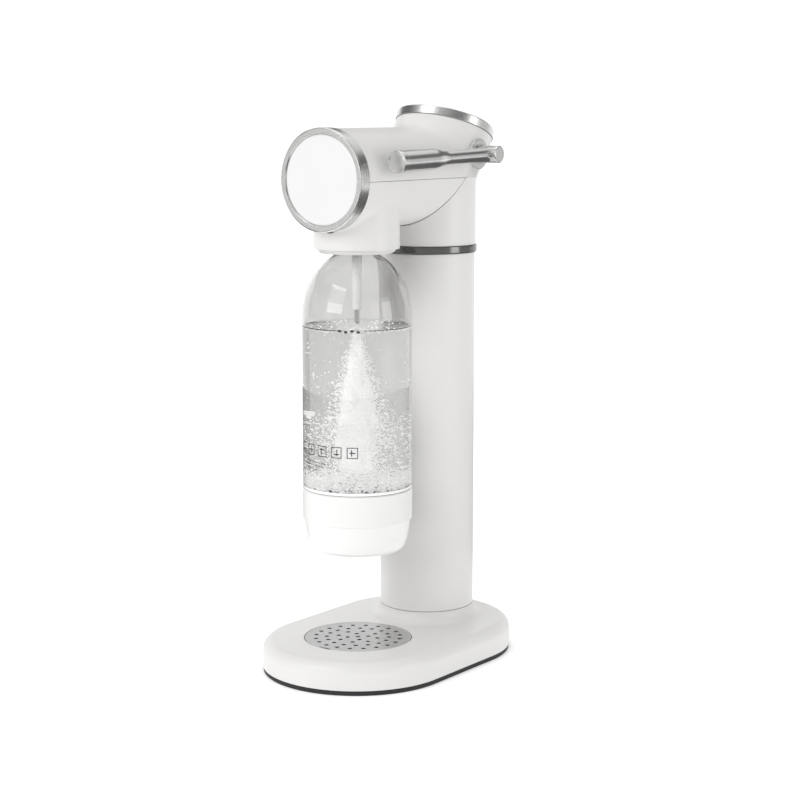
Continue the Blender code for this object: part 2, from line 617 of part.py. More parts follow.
def make_valve_block(brass, silicone, steel):
    at = (0, COLUMN_Y, 0)
    bore = VALVE_THREAD_RADIUS + 0.4 * MM
    ceiling = VALVE_TOP + SEAL_THICKNESS + 2 * GAP
    guide = PLUNGER_RADIUS + 0.3 * MM
    gland = 6.2 * MM
    block = turned(
        "valve_block",
        [(bore, BLOCK_BOTTOM), (BLOCK_FLANGE_RADIUS, BLOCK_BOTTOM),
         (BLOCK_FLANGE_RADIUS, BLOCK_BOTTOM + 4 * MM), (BLOCK_RADIUS, BLOCK_BOTTOM + 4 * MM),
         (BLOCK_RADIUS, BLOCK_TOP - MM), (BLOCK_RADIUS - MM, BLOCK_TOP), (gland, BLOCK_TOP),
         (gland, BLOCK_TOP - 4 * MM), (guide, BLOCK_TOP - 4 * MM), (guide, ceiling), (bore, ceiling)],
        brass, 24, at=at,
    )
    join(block, rod("guide_block_port", 4.5 * MM, 8 * MM, BLOCK_RADIUS + 8 * MM,
                    at=(0, COLUMN_Y, BLOCK_PORT_Z), turn=TURN_TO_MINUS_Y))
    cut(block, hole("guide_block_port_bore", 2.6 * MM, 2 * MM, BLOCK_RADIUS + 10 * MM, sides=12,
                    at=(0, COLUMN_Y, BLOCK_PORT_Z), turn=TURN_TO_MINUS_Y))
    for i, side in enumerate((-1, 1)):
        x = side * BLOCK_SCREW_X
        cut(block, hole(f"guide_block_hole_{i}", 1.7 * MM, BLOCK_BOTTOM - MM, BLOCK_BOTTOM + 6 * MM,
                       at=(x, COLUMN_Y, 0)))
        screw(f"block_screw_{i + 1}", 2.6 * MM, 1.8 * MM, 1.0 * MM, 7 * MM, steel,
              at=(x, COLUMN_Y, BLOCK_BOTTOM + 4 * MM + GAP / 2), turn=(math.pi, 0, 0))
    ring("valve_seal", PLUNGER_RADIUS + 0.8 * MM, VALVE_THREAD_RADIUS, VALVE_TOP + GAP,
         VALVE_TOP + GAP + SEAL_THICKNESS, silicone, at=at)
    ring("plunger_seal", guide, gland - GAP, BLOCK_TOP - 4 * MM + GAP, BLOCK_TOP - MM, silicone, at=at)

    pad_bottom = PLUNGER_TOP - PLUNGER_PAD
    plunger_bottom = VALVE_TOP + PLUNGER_TRAVEL + 2 * GAP
    turned(
        "plunger",
        [(0, plunger_bottom), (PLUNGER_RADIUS, plunger_bottom), (PLUNGER_RADIUS, pad_bottom),
         (8 * MM, pad_bottom), (8 * MM, PLUNGER_TOP - 0.6 * MM), (7.4 * MM, PLUNGER_TOP), (0, PLUNGER_TOP)],
        steel, at=at,
    )
    coil("plunger_spring", 5.9 * MM, 0.5 * MM, BLOCK_TOP + GAP, pad_bottom - GAP, 3.5, steel, at=at)
    rod("valve_pin", 2 * MM, VALVE_TOP - 9 * MM, plunger_bottom - GAP, steel, 12, at=at)


def make_gas_cylinder(steel_paint, brass):
    at = (0, COLUMN_Y, 0)
    neck_radius = 13 * MM
    stem_bore = VALVE_STEM_RADIUS + GAP
    rise = CYLINDER_NECK - 4 * MM - CYLINDER_SHOULDER
    outer, inner = [], []
    for i in range(5):
        a = math.radians(90 * i / 4)
        reach = CYLINDER_RADIUS - neck_radius
        outer.append((neck_radius + reach * math.cos(a), CYLINDER_SHOULDER + rise * math.sin(a)))
        reach_in = CYLINDER_RADIUS - CYLINDER_WALL - stem_bore
        inner.append((stem_bore + reach_in * math.cos(a),
                      CYLINDER_SHOULDER + (rise - CYLINDER_WALL) * math.sin(a)))
    foot = 4 * MM
    turned(
        "gas_cylinder",
        [(0, CYLINDER_BOTTOM + foot), (16 * MM, CYLINDER_BOTTOM + foot * 0.6), (22 * MM, CYLINDER_BOTTOM),
         (CYLINDER_RADIUS - foot, CYLINDER_BOTTOM), (CYLINDER_RADIUS, CYLINDER_BOTTOM + foot)]
        + outer
        + [(neck_radius, CYLINDER_NECK), (stem_bore, CYLINDER_NECK)]
        + inner[::-1]
        + [(CYLINDER_RADIUS - CYLINDER_WALL, CYLINDER_BOTTOM + 9 * MM), (18 * MM, CYLINDER_BOTTOM + 8 * MM),
           (0, CYLINDER_BOTTOM + 8 * MM)],
        steel_paint, 24, at=at,
    )
    body_bottom = CYLINDER_NECK + GAP
    turned(
        "gas_cylinder_valve",
        [(0, body_bottom - 14 * MM), (VALVE_STEM_RADIUS, body_bottom - 14 * MM),
         (VALVE_STEM_RADIUS, body_bottom), (12 * MM, body_bottom), (12 * MM, body_bottom + 8 * MM),
         (9.6 * MM, body_bottom + 9 * MM),
         (9.6 * MM, VALVE_TOP - 16 * MM), (VALVE_THREAD_RADIUS, VALVE_TOP - 15 * MM),
         (VALVE_THREAD_RADIUS, VALVE_TOP - MM), (VALVE_THREAD_RADIUS - MM, VALVE_TOP), (2.4 * MM, VALVE_TOP),
         (2.4 * MM, VALVE_TOP - 14 * MM), (0, VALVE_TOP - 14 * MM)],
        brass, 16, at=at,
    )


# ---------------------------------------------------------------- lever
def make_lever(chrome, steel):
    axis = bpy.data.objects.new("lever_axis", None)
    bpy.context.scene.collection.objects.link(axis)
    axis.location = (0, PIVOT_Y, PIVOT_Z)

    left_end = -(EAR_X + 9 * MM)
    groove = left_end + 2.4 * MM
    right_end = LEVER_HUB_END - 4 * MM
    turned(
        "lever_shaft",
        [(0, left_end), (SHAFT_RADIUS - 0.5 * MM, left_end), (SHAFT_RADIUS, left_end + 0.5 * MM),
         (SHAFT_RADIUS, groove), (SHAFT_RADIUS - 1 * MM, groove), (SHAFT_RADIUS - 1 * MM, groove + 1.4 * MM),
         (SHAFT_RADIUS, groove + 1.4 * MM), (SHAFT_RADIUS, right_end), (0, right_end)],
        steel, turn=TURN_TO_X, parent=axis,
    )
    clip = ring("shaft_clip", SHAFT_RADIUS - 0.8 * MM, SHAFT_RADIUS + 2.4 * MM, groove + 0.2 * MM,
                groove + 1.2 * MM, steel, turn=TURN_TO_X, parent=axis)
    cut(clip, box("guide_clip_mouth", (-30 * MM, -2.6 * MM, -9 * MM), (-15 * MM, 2.6 * MM, 0), parent=axis))

    flange_inner = LEVER_HUB_END - 18.6 * MM
    flange_seat = BARREL_RADIUS - 8.3 * MM
    arm = turned(
        "lever_arm",
        [(0, right_end + GAP), (SHAFT_RADIUS + SHAFT_PLAY, right_end + GAP),
         (SHAFT_RADIUS + SHAFT_PLAY, flange_inner), (LEVER_HUB_RADIUS - 0.5 * MM, flange_inner),
         (LEVER_HUB_RADIUS, flange_inner + 0.5 * MM),
         (LEVER_HUB_RADIUS, LEVER_HUB_END - MM), (LEVER_HUB_RADIUS - MM, LEVER_HUB_END), (0, LEVER_HUB_END)],
        chrome, 20, turn=TURN_TO_X, parent=axis,
    )
    along = bpy.data.objects.new("lever_line", None)
    bpy.context.scene.collection.objects.link(along)
    along.parent = axis
    along.location = (LEVER_X, 0, 0)
    along.rotation_euler = (math.pi / 2 + LEVER_DROOP, 0, 0)
    taper_start = LEVER_LENGTH - END_CAP_LENGTH - GRIP_LENGTH - GRIP_TAPER
    core = 3.4 * MM
    neck = turned(
        "guide_lever_neck",
        [(0, 5 * MM), (LEVER_NECK_RADIUS + 0.6 * MM, 5 * MM), (LEVER_NECK_RADIUS, 20 * MM),
         (LEVER_NECK_RADIUS, taper_start), (core, taper_start), (core, LEVER_LENGTH - END_CAP_LENGTH - MM),
         (0, LEVER_LENGTH - END_CAP_LENGTH - MM)],
        sides=20, parent=along,
    )
    join(arm, neck)
    grip_end = LEVER_LENGTH - END_CAP_LENGTH - GAP
    taper = [
        (LEVER_NECK_RADIUS + (GRIP_RADIUS - LEVER_NECK_RADIUS) * (3 * t * t - 2 * t * t * t),
         taper_start + GAP + GRIP_TAPER * t)
        for t in (i / 5 for i in range(6))
    ]
    turned("lever_grip", [(core + GAP, taper_start + GAP)] + taper
           + [(GRIP_RADIUS, grip_end - 0.8 * MM), (GRIP_RADIUS - 0.8 * MM, grip_end), (core + GAP, grip_end)],
           chrome, 20, parent=along)
    turned("lever_end_cap",
           [(0, LEVER_LENGTH - END_CAP_LENGTH), (END_CAP_RADIUS - 0.8 * MM, LEVER_LENGTH - END_CAP_LENGTH),
            (END_CAP_RADIUS, LEVER_LENGTH - END_CAP_LENGTH + 0.8 * MM),
            (END_CAP_RADIUS, LEVER_LENGTH - 0.8 * MM),
            (END_CAP_RADIUS - 0.8 * MM, LEVER_LENGTH), (0, LEVER_LENGTH)],
           chrome, 20, parent=along)

    flange = turned(
        "lever_flange",
        [(SHAFT_RADIUS + SHAFT_PLAY + 0.2 * MM, flange_seat), (FLANGE_RADIUS, flange_seat),
         (FLANGE_RADIUS, flange_inner - 1.4 * MM), (FLANGE_RADIUS - MM, flange_inner - 0.4 * MM),
         (SHAFT_RADIUS + SHAFT_PLAY + 0.2 * MM, flange_inner - 0.4 * MM)],
        chrome, 24, at=(0, PIVOT_Y, PIVOT_Z), turn=TURN_TO_X,
    )
    cut(flange, make_stub("guide_flange_seat", -GAP, 10 * MM), make_barrel("guide_flange_barrel", -GAP, 0))

    push = rod("push_arm", 6.2 * MM, -5 * MM, 5 * MM, steel, 24, turn=TURN_TO_X, parent=axis)
    nose = rod("guide_push_nose", PUSH_NOSE_RADIUS, -4 * MM, 4 * MM, sides=24,
               at=(0, -PUSH_ARM_LENGTH, 0), turn=TURN_TO_X, parent=axis)
    web = box("guide_push_web", (-4 * MM, -PUSH_ARM_LENGTH, -2.6 * MM), (4 * MM, 0, 3.6 * MM), parent=axis)
    join(push, nose, web)
    cut(push, hole("guide_push_bore", SHAFT_RADIUS + SHAFT_PLAY, -8 * MM, 8 * MM, 24, turn=TURN_TO_X,
                   parent=axis))


# ---------------------------------------------------------------- nozzle
def make_nozzle(white, clear, silicone, steel, brass):
    at = (0, BOTTLE_Y, 0)
    thread_bore = NECK_OUTER + 1.4 * MM
    mouth = 22 * MM
    collar_step = BOSS_BOTTOM + 3 * MM
    turned(
        "bottle_collar",
        [(mouth, COLLAR_BOTTOM), (COLLAR_RADIUS - 2.4 * MM, COLLAR_BOTTOM),
         (COLLAR_RADIUS - 0.5 * MM, COLLAR_BOTTOM + 1.8 * MM),
         (COLLAR_RADIUS, COLLAR_BOTTOM + 2.6 * MM), (COLLAR_RADIUS, collar_step),
         (19 * MM, collar_step), (19 * MM, NOZZLE_BOTTOM - GAP), (thread_bore, NOZZLE_BOTTOM - GAP),
         (thread_bore, COLLAR_BOTTOM + 6 * MM)],
        white, ROUND, at=at,
    )
    stem = 8.5 * MM
    stem_bottom = NOZZLE_BOTTOM - 7 * MM
    socket = 4.4 * MM
    block = turned(
        "nozzle_block",
        [(0, NOZZLE_BOTTOM + 6 * MM), (socket, NOZZLE_BOTTOM + 6 * MM), (socket, stem_bottom),
         (stem, stem_bottom), (stem, NOZZLE_BOTTOM), (27.2 * MM, NOZZLE_BOTTOM),
         (27.2 * MM, NOZZLE_BOTTOM + 3.4 * MM),
         (15 * MM, NOZZLE_BOTTOM + 3.4 * MM), (15 * MM, NOZZLE_TOP), (0, NOZZLE_TOP)],
        white, 30, at=at,
    )
    join(block, rod("guide_nozzle_port", 4.5 * MM, 8 * MM, 21 * MM, sides=12, at=(0, BOTTLE_Y, NOZZLE_PORT_Z),
                    turn=TURN_TO_Y))
    cut(block, hole("guide_nozzle_port_bore", 2.6 * MM, 6 * MM, 30 * MM, sides=12,
                   at=(0, BOTTLE_Y, NOZZLE_PORT_Z), turn=TURN_TO_Y))
    for side in (-1, 1):
        x = side * NOZZLE_SCREW_X
        cut(block, hole(f"guide_nozzle_hole_{side}", 1.7 * MM, NOZZLE_BOTTOM - MM, NOZZLE_BOTTOM + 6 * MM,
                       at=(x, BOTTLE_Y, 0)))
        screw(f"nozzle_screw_{1 if side < 0 else 2}", 2.6 * MM, 1.8 * MM, 1.0 * MM, 8 * MM, steel,
              at=(x, BOTTLE_Y, NOZZLE_BOTTOM + 3.4 * MM + GAP / 2), turn=(math.pi, 0, 0))
    relief_bore = 3.2 * MM
    cut(block, hole("guide_relief_seat", relief_bore, NOZZLE_TOP - 3 * MM, NOZZLE_TOP + MM, at=at))
    ring("bottle_seal", stem + GAP, NECK_OUTER + 0.6 * MM, MOUTH_Z + GAP, NOZZLE_BOTTOM - GAP, silicone,
         at=at)
    tube_top = NOZZLE_BOTTOM + 5 * MM
    tube_end = TUBE_TIP + 10.8 * MM
    turned("carbonation_tube",
           [(1.6 * MM, tube_end), (3.1 * MM, tube_end), (3.5 * MM, tube_end + MM),
            (4.1 * MM, stem_bottom - 6 * MM), (4.1 * MM, tube_top), (1.6 * MM, tube_top)],
           clear, at=at)
    turned("nozzle_tip",
           [(0.5 * MM, TUBE_TIP), (1.5 * MM, TUBE_TIP), (1.95 * MM, TUBE_TIP + MM),
            (1.95 * MM, tube_end - GAP), (1.3 * MM, tube_end - GAP), (1.3 * MM, tube_end + 6 * MM),
            (0.5 * MM, tube_end + 6 * MM)],
           steel, 16, at=at)

    seat = NOZZLE_TOP + GAP
    cap_z = seat + 13 * MM
    turned("relief_body",
           [(2.2 * MM, seat), (6 * MM, seat), (6 * MM, cap_z), (4.4 * MM, cap_z), (4.4 * MM, seat + 2 * MM),
            (2.2 * MM, seat + 2 * MM)], brass, at=at)
    poppet_top = seat + 6 * MM
    turned("relief_poppet",
           [(0, seat + 0.8 * MM), (1.8 * MM, seat + 0.8 * MM), (1.8 * MM, seat + 2 * MM + GAP),
            (4 * MM, seat + 2 * MM + GAP), (4 * MM, seat + 4 * MM), (1.6 * MM, seat + 4 * MM),
            (1.6 * MM, poppet_top), (0, poppet_top)], steel, 16, at=at)
    coil("relief_spring", 2.9 * MM, 0.4 * MM, seat + 4 * MM + GAP, cap_z - GAP, 4, steel, 8, at=at)
    turned("relief_cap",
           [(1.2 * MM, cap_z + GAP), (7 * MM, cap_z + GAP), (7 * MM, cap_z + 2.6 * MM),
            (6.4 * MM, cap_z + 3.2 * MM), (1.2 * MM, cap_z + 3.2 * MM)],
           brass, at=at)


def make_gas_pipe(pale_tube):
    """From the valve block's front port down to the nozzle block's rear port."""
    start = Vector((0, COLUMN_Y - BLOCK_RADIUS - 2.5 * MM, BLOCK_PORT_Z))
    end = Vector((0, BOTTLE_Y + 15.5 * MM, NOZZLE_PORT_Z))
    handle = Vector((0, -24 * MM, 0))
    points = []
    steps = 12
    for i in range(steps + 1):
        t = i / steps
        a, b, c, d = start, start + handle, end - handle, end
        points.append(a * (1 - t) ** 3 + b * 3 * t * (1 - t) ** 2 + c * 3 * t * t * (1 - t) + d * t ** 3)
    tube_curve("gas_pipe", points, 2.1 * MM, pale_tube)


# ---------------------------------------------------------------- bottle
def shoulder(inset, top_radius, steps):
    """(radius, height) points up the bottle's elliptical shoulder until it is top_radius wide."""
    wide, tall = BOTTLE_RADIUS - inset, SHOULDER_HEIGHT - inset
    last = math.acos(top_radius / wide)
    angles = [last * i / steps for i in range(steps + 1)]
    return [(wide * math.cos(a), SHOULDER_START + tall * math.sin(a)) for a in angles]


def bottle_foot(offset):
    """(radius, height) points of the bottle's foot, from the axis out and up, moved outwards by offset."""
    low = BOTTLE_BOTTOM + 6 * MM
    return (
        [(0, low + 3 * MM - offset), (17 * MM, low + 1.4 * MM - offset), (25 * MM, low - offset)]
        + arc((27.2 * MM, low + 10 * MM), 10 * MM + offset, -78, 0, 3)
        + [(40 * MM + offset, BOTTLE_CUP_SEAM + 3 * MM), (40.4 * MM + offset, BOTTLE_CUP_TOP + GAP)]
    )


def make_bottle(clear, white):
    at = (0, BOTTLE_Y, 0)
    step = BOTTLE_CUP_TOP + GAP
    bead = 1.0 * MM
    neck_base = SHOULDER_START + SHOULDER_HEIGHT * math.sin(math.acos(17 * MM / BOTTLE_RADIUS))
    outer = (
        bottle_foot(0)
        + [(BOTTLE_RADIUS, step)]
        + shoulder(0, 17 * MM, 6)
        + [(NECK_OUTER, neck_base + 2.2 * MM), (NECK_OUTER, MOUTH_Z - 6 * MM),
           (NECK_OUTER + bead, MOUTH_Z - 5 * MM), (NECK_OUTER + bead, MOUTH_Z - 3 * MM),
           (NECK_OUTER, MOUTH_Z - 2 * MM), (NECK_OUTER, MOUTH_Z)]
    )
    inner = (
        [(NECK_INNER, MOUTH_Z), (NECK_INNER, neck_base - MM)]
        + shoulder(BOTTLE_WALL, 14.5 * MM, 5)[::-1]
        + [(BOTTLE_RADIUS - BOTTLE_WALL, step + 2 * MM)]
        + bottle_foot(-BOTTLE_WALL)[::-1]
    )
    turned("bottle_body", outer + inner, clear, 28, at=at)

    cup_outer = BOTTLE_RADIUS + 0.4 * MM
    side = [(33.5 * MM, BOTTLE_BOTTOM), (36.2 * MM, BOTTLE_BOTTOM + 2.2 * MM),
            (38.6 * MM, BOTTLE_BOTTOM + 9 * MM), (cup_outer - 1.3 * MM, BOTTLE_CUP_SEAM - MM),
            (cup_outer, BOTTLE_CUP_SEAM + MM),
            (cup_outer, BOTTLE_CUP_TOP - 0.8 * MM), (cup_outer - 0.8 * MM, BOTTLE_CUP_TOP)]
    inside = bottle_foot(GAP)[::-1]
    turned(
        "bottle_base_cup",
        [(0, BOTTLE_BOTTOM + 2 * MM), (27 * MM, BOTTLE_BOTTOM + 2 * MM), (29 * MM, BOTTLE_BOTTOM)]
        + side
        + [(inside[0][0], BOTTLE_CUP_TOP)]
        + inside[1:],
        white, 28, at=at,
    )


def main():
    clear_scene()
    white = material("white_plastic", (0.86, 0.86, 0.84), 0.35)
    disc_white = material("gloss_white", (0.93, 0.93, 0.93), 0.12)
    chrome = material("satin_chrome", (0.72, 0.72, 0.72), 0.18, 1.0)
    steel = material("steel", (0.62, 0.62, 0.62), 0.35, 1.0)
    rubber = material("black_rubber", (0.03, 0.03, 0.03), 0.8)
    grey = material("grey_plastic", (0.35, 0.35, 0.36), 0.5)
    clear = material("clear_plastic", (0.9, 0.93, 0.95), 0.05, 0.0, 0.35)
    silicone = material("silicone", (0.8, 0.8, 0.78), 0.6)
    brass = material("brass", (0.78, 0.6, 0.3), 0.3, 1.0)
    bronze = material("bronze", (0.6, 0.42, 0.22), 0.45, 1.0)
    zinc = material("zinc_plate", (0.55, 0.56, 0.57), 0.5, 1.0)
    paint = material("cylinder_paint", (0.12, 0.2, 0.42), 0.35)
    pale_tube = material("nylon_tube", (0.85, 0.86, 0.84), 0.4)

    make_base(white, rubber, grey, steel)
    make_drip_tray(steel, grey)
    make_column(white, chrome)
    make_head(white, chrome, disc_white)
    make_chassis(zinc, bronze, steel)
    make_valve_block(brass, silicone, steel)
    make_gas_cylinder(paint, brass)
    make_lever(chrome, steel)
    make_nozzle(white, clear, silicone, steel, brass)
    make_gas_pipe(pale_tube)
    make_bottle(clear, white)


main()
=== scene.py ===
"""Looks of a countertop soda carbonator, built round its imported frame.

Run as a script it makes every visible piece, the water and bubbles in the bottle, and the studio round them.
"""

import json
import math
import random

import bmesh
import bpy
import numpy as np
from bpy.props import FloatProperty, FloatVectorProperty, IntProperty, PointerProperty
from mathutils import Matrix, Vector
from mathutils.noise import noise as noise_value


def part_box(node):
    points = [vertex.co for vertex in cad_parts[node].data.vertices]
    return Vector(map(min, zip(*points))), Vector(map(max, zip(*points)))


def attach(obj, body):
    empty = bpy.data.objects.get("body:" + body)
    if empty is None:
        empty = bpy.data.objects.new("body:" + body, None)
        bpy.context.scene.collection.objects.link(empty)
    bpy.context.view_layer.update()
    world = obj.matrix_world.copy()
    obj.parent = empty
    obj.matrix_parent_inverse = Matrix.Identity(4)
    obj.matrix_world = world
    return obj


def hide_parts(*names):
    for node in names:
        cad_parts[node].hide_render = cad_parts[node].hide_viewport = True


bl_info = {
    "name": "Soda Carbonator",
    "version": (1, 0, 0),
    "blender": (4, 5, 0),
    "location": "View3D > Sidebar > Carbonator",
    "description": "Builds the visible pieces of a countertop soda carbonator",
    "category": "Add Mesh",
}

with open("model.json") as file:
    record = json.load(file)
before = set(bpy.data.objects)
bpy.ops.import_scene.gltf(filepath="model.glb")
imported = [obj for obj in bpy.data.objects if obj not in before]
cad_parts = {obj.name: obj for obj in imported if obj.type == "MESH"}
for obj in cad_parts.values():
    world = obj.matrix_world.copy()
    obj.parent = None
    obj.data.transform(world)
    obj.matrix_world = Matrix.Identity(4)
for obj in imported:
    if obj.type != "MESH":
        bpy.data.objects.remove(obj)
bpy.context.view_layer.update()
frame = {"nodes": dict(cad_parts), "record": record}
SLOTS = {entry["node"]: entry["material_slot"] for entry in frame["record"]["subparts"]}

MM = 0.001
GAP = 0.3 * MM  # left between neighbouring pieces
FINE = 144  # sides of a large round piece
SIDES = 64  # sides of a small one


# ---------------------------------------------------------------- sizes read from the frame
def middle(node):
    low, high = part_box(node)
    return (low + high) / 2


def span(node):
    low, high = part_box(node)
    return high - low


BASE_LOW, BASE_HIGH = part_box("base_housing")
BOTTLE_AXIS = Vector((0, middle("bottle_body").y, 0))
COLUMN_AXIS = Vector((0, middle("column_shell").y, 0))
COLUMN_RADIUS = span("column_shell").x / 2
NECK_RADIUS = span("neck_shell").x / 2
RING_RADIUS = span("front_trim_ring").x / 2
BARREL_Z = middle("front_trim_ring").z
BARREL_RADIUS = span("head_lower_shell").x / 2
BARREL_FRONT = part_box("head_lower_shell")[0].y
SEAM_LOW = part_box("head_lower_shell")[1].z
SEAM_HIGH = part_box("head_upper_shell")[0].z
JUNCTION = Vector((0, COLUMN_AXIS.y, BARREL_Z))
RIM_RADIUS = span("top_trim_ring").x / 2
RIM_TILT = math.radians(20.4)
RIM_AXIS = Vector((0, math.sin(RIM_TILT), math.cos(RIM_TILT)))
RIM_DEPTH = 7.5 * MM
RIM_TOP = Vector((0, 77 * MM, 426.3 * MM))
RIM_BASE = RIM_TOP - RIM_AXIS * RIM_DEPTH
BOSS_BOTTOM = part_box("head_lower_shell")[0].z
BOSS_RADIUS = 33 * MM
PIVOT = Vector((0, 66 * MM, 401 * MM))


# ---------------------------------------------------------------- settings
def colour(name, default, description):
    return FloatVectorProperty(
        name=name, description=description, subtype="COLOR", size=3, min=0.0, max=1.0, default=default
    )


class HousingSettings(bpy.types.PropertyGroup):
    white: colour("Housing white", (0.745, 0.738, 0.725), "Colour of the moulded housings")
    disc: colour("Disc white", (0.78, 0.78, 0.78), "Colour of the two end discs")
    rubber: colour("Foot black", (0.012, 0.012, 0.013), "Colour of the rubber foot band")
    roughness: FloatProperty(
        name="Housing roughness", description="Roughness of the moulded housings", min=0, max=1, default=0.36
    )
    voxel: FloatProperty(
        name="Skin step", description="Size of the faces of the head's skin", default=1.15 * MM, min=0.5 * MM,
        unit="LENGTH",
    )
    fillet: FloatProperty(
        name="Stub fillet", description="How widely the leaning stub runs into the barrel", default=22 * MM,
        unit="LENGTH",
    )


class MetalSettings(bpy.types.PropertyGroup):
    silver: colour("Silver", (0.74, 0.74, 0.73), "Colour of the bright metal trim")
    dark: colour("Dark trim", (0.16, 0.16, 0.155), "Colour of the ring between column and neck")
    roughness: FloatProperty(
        name="Metal roughness", description="Roughness of the bright metal trim", min=0, max=1, default=0.25
    )


class BottleSettings(bpy.types.PropertyGroup):
    water_top: FloatProperty(
        name="Water level", description="Height of the water's surface", default=271.5 * MM, unit="LENGTH"
    )
    bubbles: IntProperty(name="Bubbles", description="Loose bubbles in the water", default=2200, min=0)
    jet_bubbles: IntProperty(name="Jet bubbles", description="Bubbles round the jet", default=6000, min=0)
    bed_bubbles: IntProperty(name="Bed bubbles", description="Bubbles over the floor", default=3200, min=0)
    seed: IntProperty(name="Seed", description="Start of the bubbles' scatter", default=7)


class StageSettings(bpy.types.PropertyGroup):
    camera_place: FloatVectorProperty(
        name="Camera place", description="Where the camera stands", subtype="TRANSLATION", size=3,
        default=(0.8909, -1.1804, 0.4379),
    )
    camera_turn: FloatVectorProperty(
        name="Camera turn", description="How the camera is turned", subtype="EULER", size=3,
        default=(math.radians(81.194), 0.0, math.radians(36.688)),
    )
    lens: FloatProperty(name="Lens", description="Focal length", default=85.2, unit="CAMERA")
    floor: colour("Floor", (0.92, 0.92, 0.92), "Colour of the floor and the backdrop")


SETTINGS = {
    "carbonator_housing": HousingSettings,
    "carbonator_metal": MetalSettings,
    "carbonator_bottle": BottleSettings,
    "carbonator_stage": StageSettings,
}


# ---------------------------------------------------------------- materials
def node_tree(name):
    made = bpy.data.materials.new(name)
    made.use_nodes = True
    tree = made.node_tree
    shader = tree.nodes["Principled BSDF"]
    place = tree.nodes.new("ShaderNodeTexCoord")
    return made, tree, shader, place


def stretched(tree, place, stretch=(1, 1, 1)):
    mapping = tree.nodes.new("ShaderNodeMapping")
    mapping.inputs["Scale"].default_value = stretch
    tree.links.new(place.outputs["Object"], mapping.inputs["Vector"])
    return mapping.outputs["Vector"]


def noise(tree, vector, scale, detail=3.0, roughness=0.5):
    made = tree.nodes.new("ShaderNodeTexNoise")
    made.inputs["Scale"].default_value = scale
    made.inputs["Detail"].default_value = detail
    made.inputs["Roughness"].default_value = roughness
    tree.links.new(vector, made.inputs["Vector"])
    return made.outputs["Fac"]


def ranged(tree, value, low, high, from_low=0.3, from_high=0.7):
    made = tree.nodes.new("ShaderNodeMapRange")
    made.inputs["From Min"].default_value = from_low
    made.inputs["From Max"].default_value = from_high
    made.inputs["To Min"].default_value = low
    made.inputs["To Max"].default_value = high
    tree.links.new(value, made.inputs["Value"])
    return made.outputs["Result"]


def mixed_colour(tree, value, first, second):
    made = tree.nodes.new("ShaderNodeMix")
    made.data_type = "RGBA"
    made.inputs["A"].default_value = (*first, 1)
    made.inputs["B"].default_value = (*second, 1)
    tree.links.new(value, made.inputs["Factor"])
    return made.outputs["Result"]


def bumped(tree, shader, height, distance, strength=0.3):
    made = tree.nodes.new("ShaderNodeBump")
    made.inputs["Strength"].default_value = strength
    made.inputs["Distance"].default_value = distance
    tree.links.new(height, made.inputs["Height"])
    tree.links.new(made.outputs["Normal"], shader.inputs["Normal"])


def tinted(tree, shader, value, first, second):
    """Runs the colour from first to second with a value."""
    tree.links.new(mixed_colour(tree, ranged(tree, value, 0, 1), first, second), shader.inputs["Base Color"])


def glossed(tree, shader, value, low, high):
    """Runs the roughness from low to high with a value."""
    tree.links.new(ranged(tree, value, low, high), shader.inputs["Roughness"])


def shade(colour_in, factor):
    return tuple(min(1.0, c * factor) for c in colour_in)


def moulded(name, base, roughness, grain=0.05 * MM, coat=0.0):
    """Moulded plastic: a very fine spark-eroded grain, a little flow in tone and in gloss."""
    made, tree, shader, place = node_tree(name)
    vector = stretched(tree, place)
    flow = noise(tree, vector, 14, 2)
    grit = noise(tree, vector, 1600, 2, 0.6)
    tinted(tree, shader, flow, shade(base, 0.985), shade(base, 1.01))
    glossed(tree, shader, grit, roughness - 0.03, roughness + 0.05)
    shader.inputs["Coat Weight"].default_value = coat
    shader.inputs["Coat Roughness"].default_value = 0.08
    bumped(tree, shader, grit, grain, 0.12)
    return made


def brushed(name, base, roughness, stretch):
    """Brushed metal: fine streaks along one way, with faint smudges in the gloss."""
    made, tree, shader, place = node_tree(name)
    streak = noise(tree, stretched(tree, place, stretch), 420, 3, 0.5)
    smudge = noise(tree, stretched(tree, place), 45, 2)
    tinted(tree, shader, streak, shade(base, 0.985), shade(base, 1.01))
    add = tree.nodes.new("ShaderNodeMath")
    add.operation = "ADD"
    tree.links.new(ranged(tree, streak, -0.01, 0.015), add.inputs[0])
    tree.links.new(ranged(tree, smudge, roughness, roughness + 0.02), add.inputs[1])
    tree.links.new(add.outputs["Value"], shader.inputs["Roughness"])
    shader.inputs["Metallic"].default_value = 1.0
    bumped(tree, shader, streak, 0.003 * MM, 0.05)
    return made


def cast(name, base, roughness, grain, metallic=0.0):
    """A coarser surface: rubber, sintered bronze, plated sheet, painted steel."""
    made, tree, shader, place = node_tree(name)
    vector = stretched(tree, place)
    pits = noise(tree, vector, 900, 4, 0.65)
    cloud = noise(tree, vector, 60, 3)
    tinted(tree, shader, cloud, shade(base, 0.85), shade(base, 1.12))
    glossed(tree, shader, pits, roughness - 0.06, roughness + 0.08)
    shader.inputs["Metallic"].default_value = metallic
    bumped(tree, shader, pits, grain, 0.35)
    return made


def clear(name, tint, ior, waviness):
    """Clear plastic or water: transmission with a slight waviness in the surface."""
    made, tree, shader, place = node_tree(name)
    wave = noise(tree, stretched(tree, place, (1, 1, 0.5)), waviness, 2)
    shader.inputs["Base Color"].default_value = (*tint, 1)
    glossed(tree, shader, wave, 0.0, 0.02)
    shader.inputs["Transmission Weight"].default_value = 1.0
    shader.inputs["IOR"].default_value = ior
    bumped(tree, shader, wave, 0.12 * MM, 0.2)
    return made


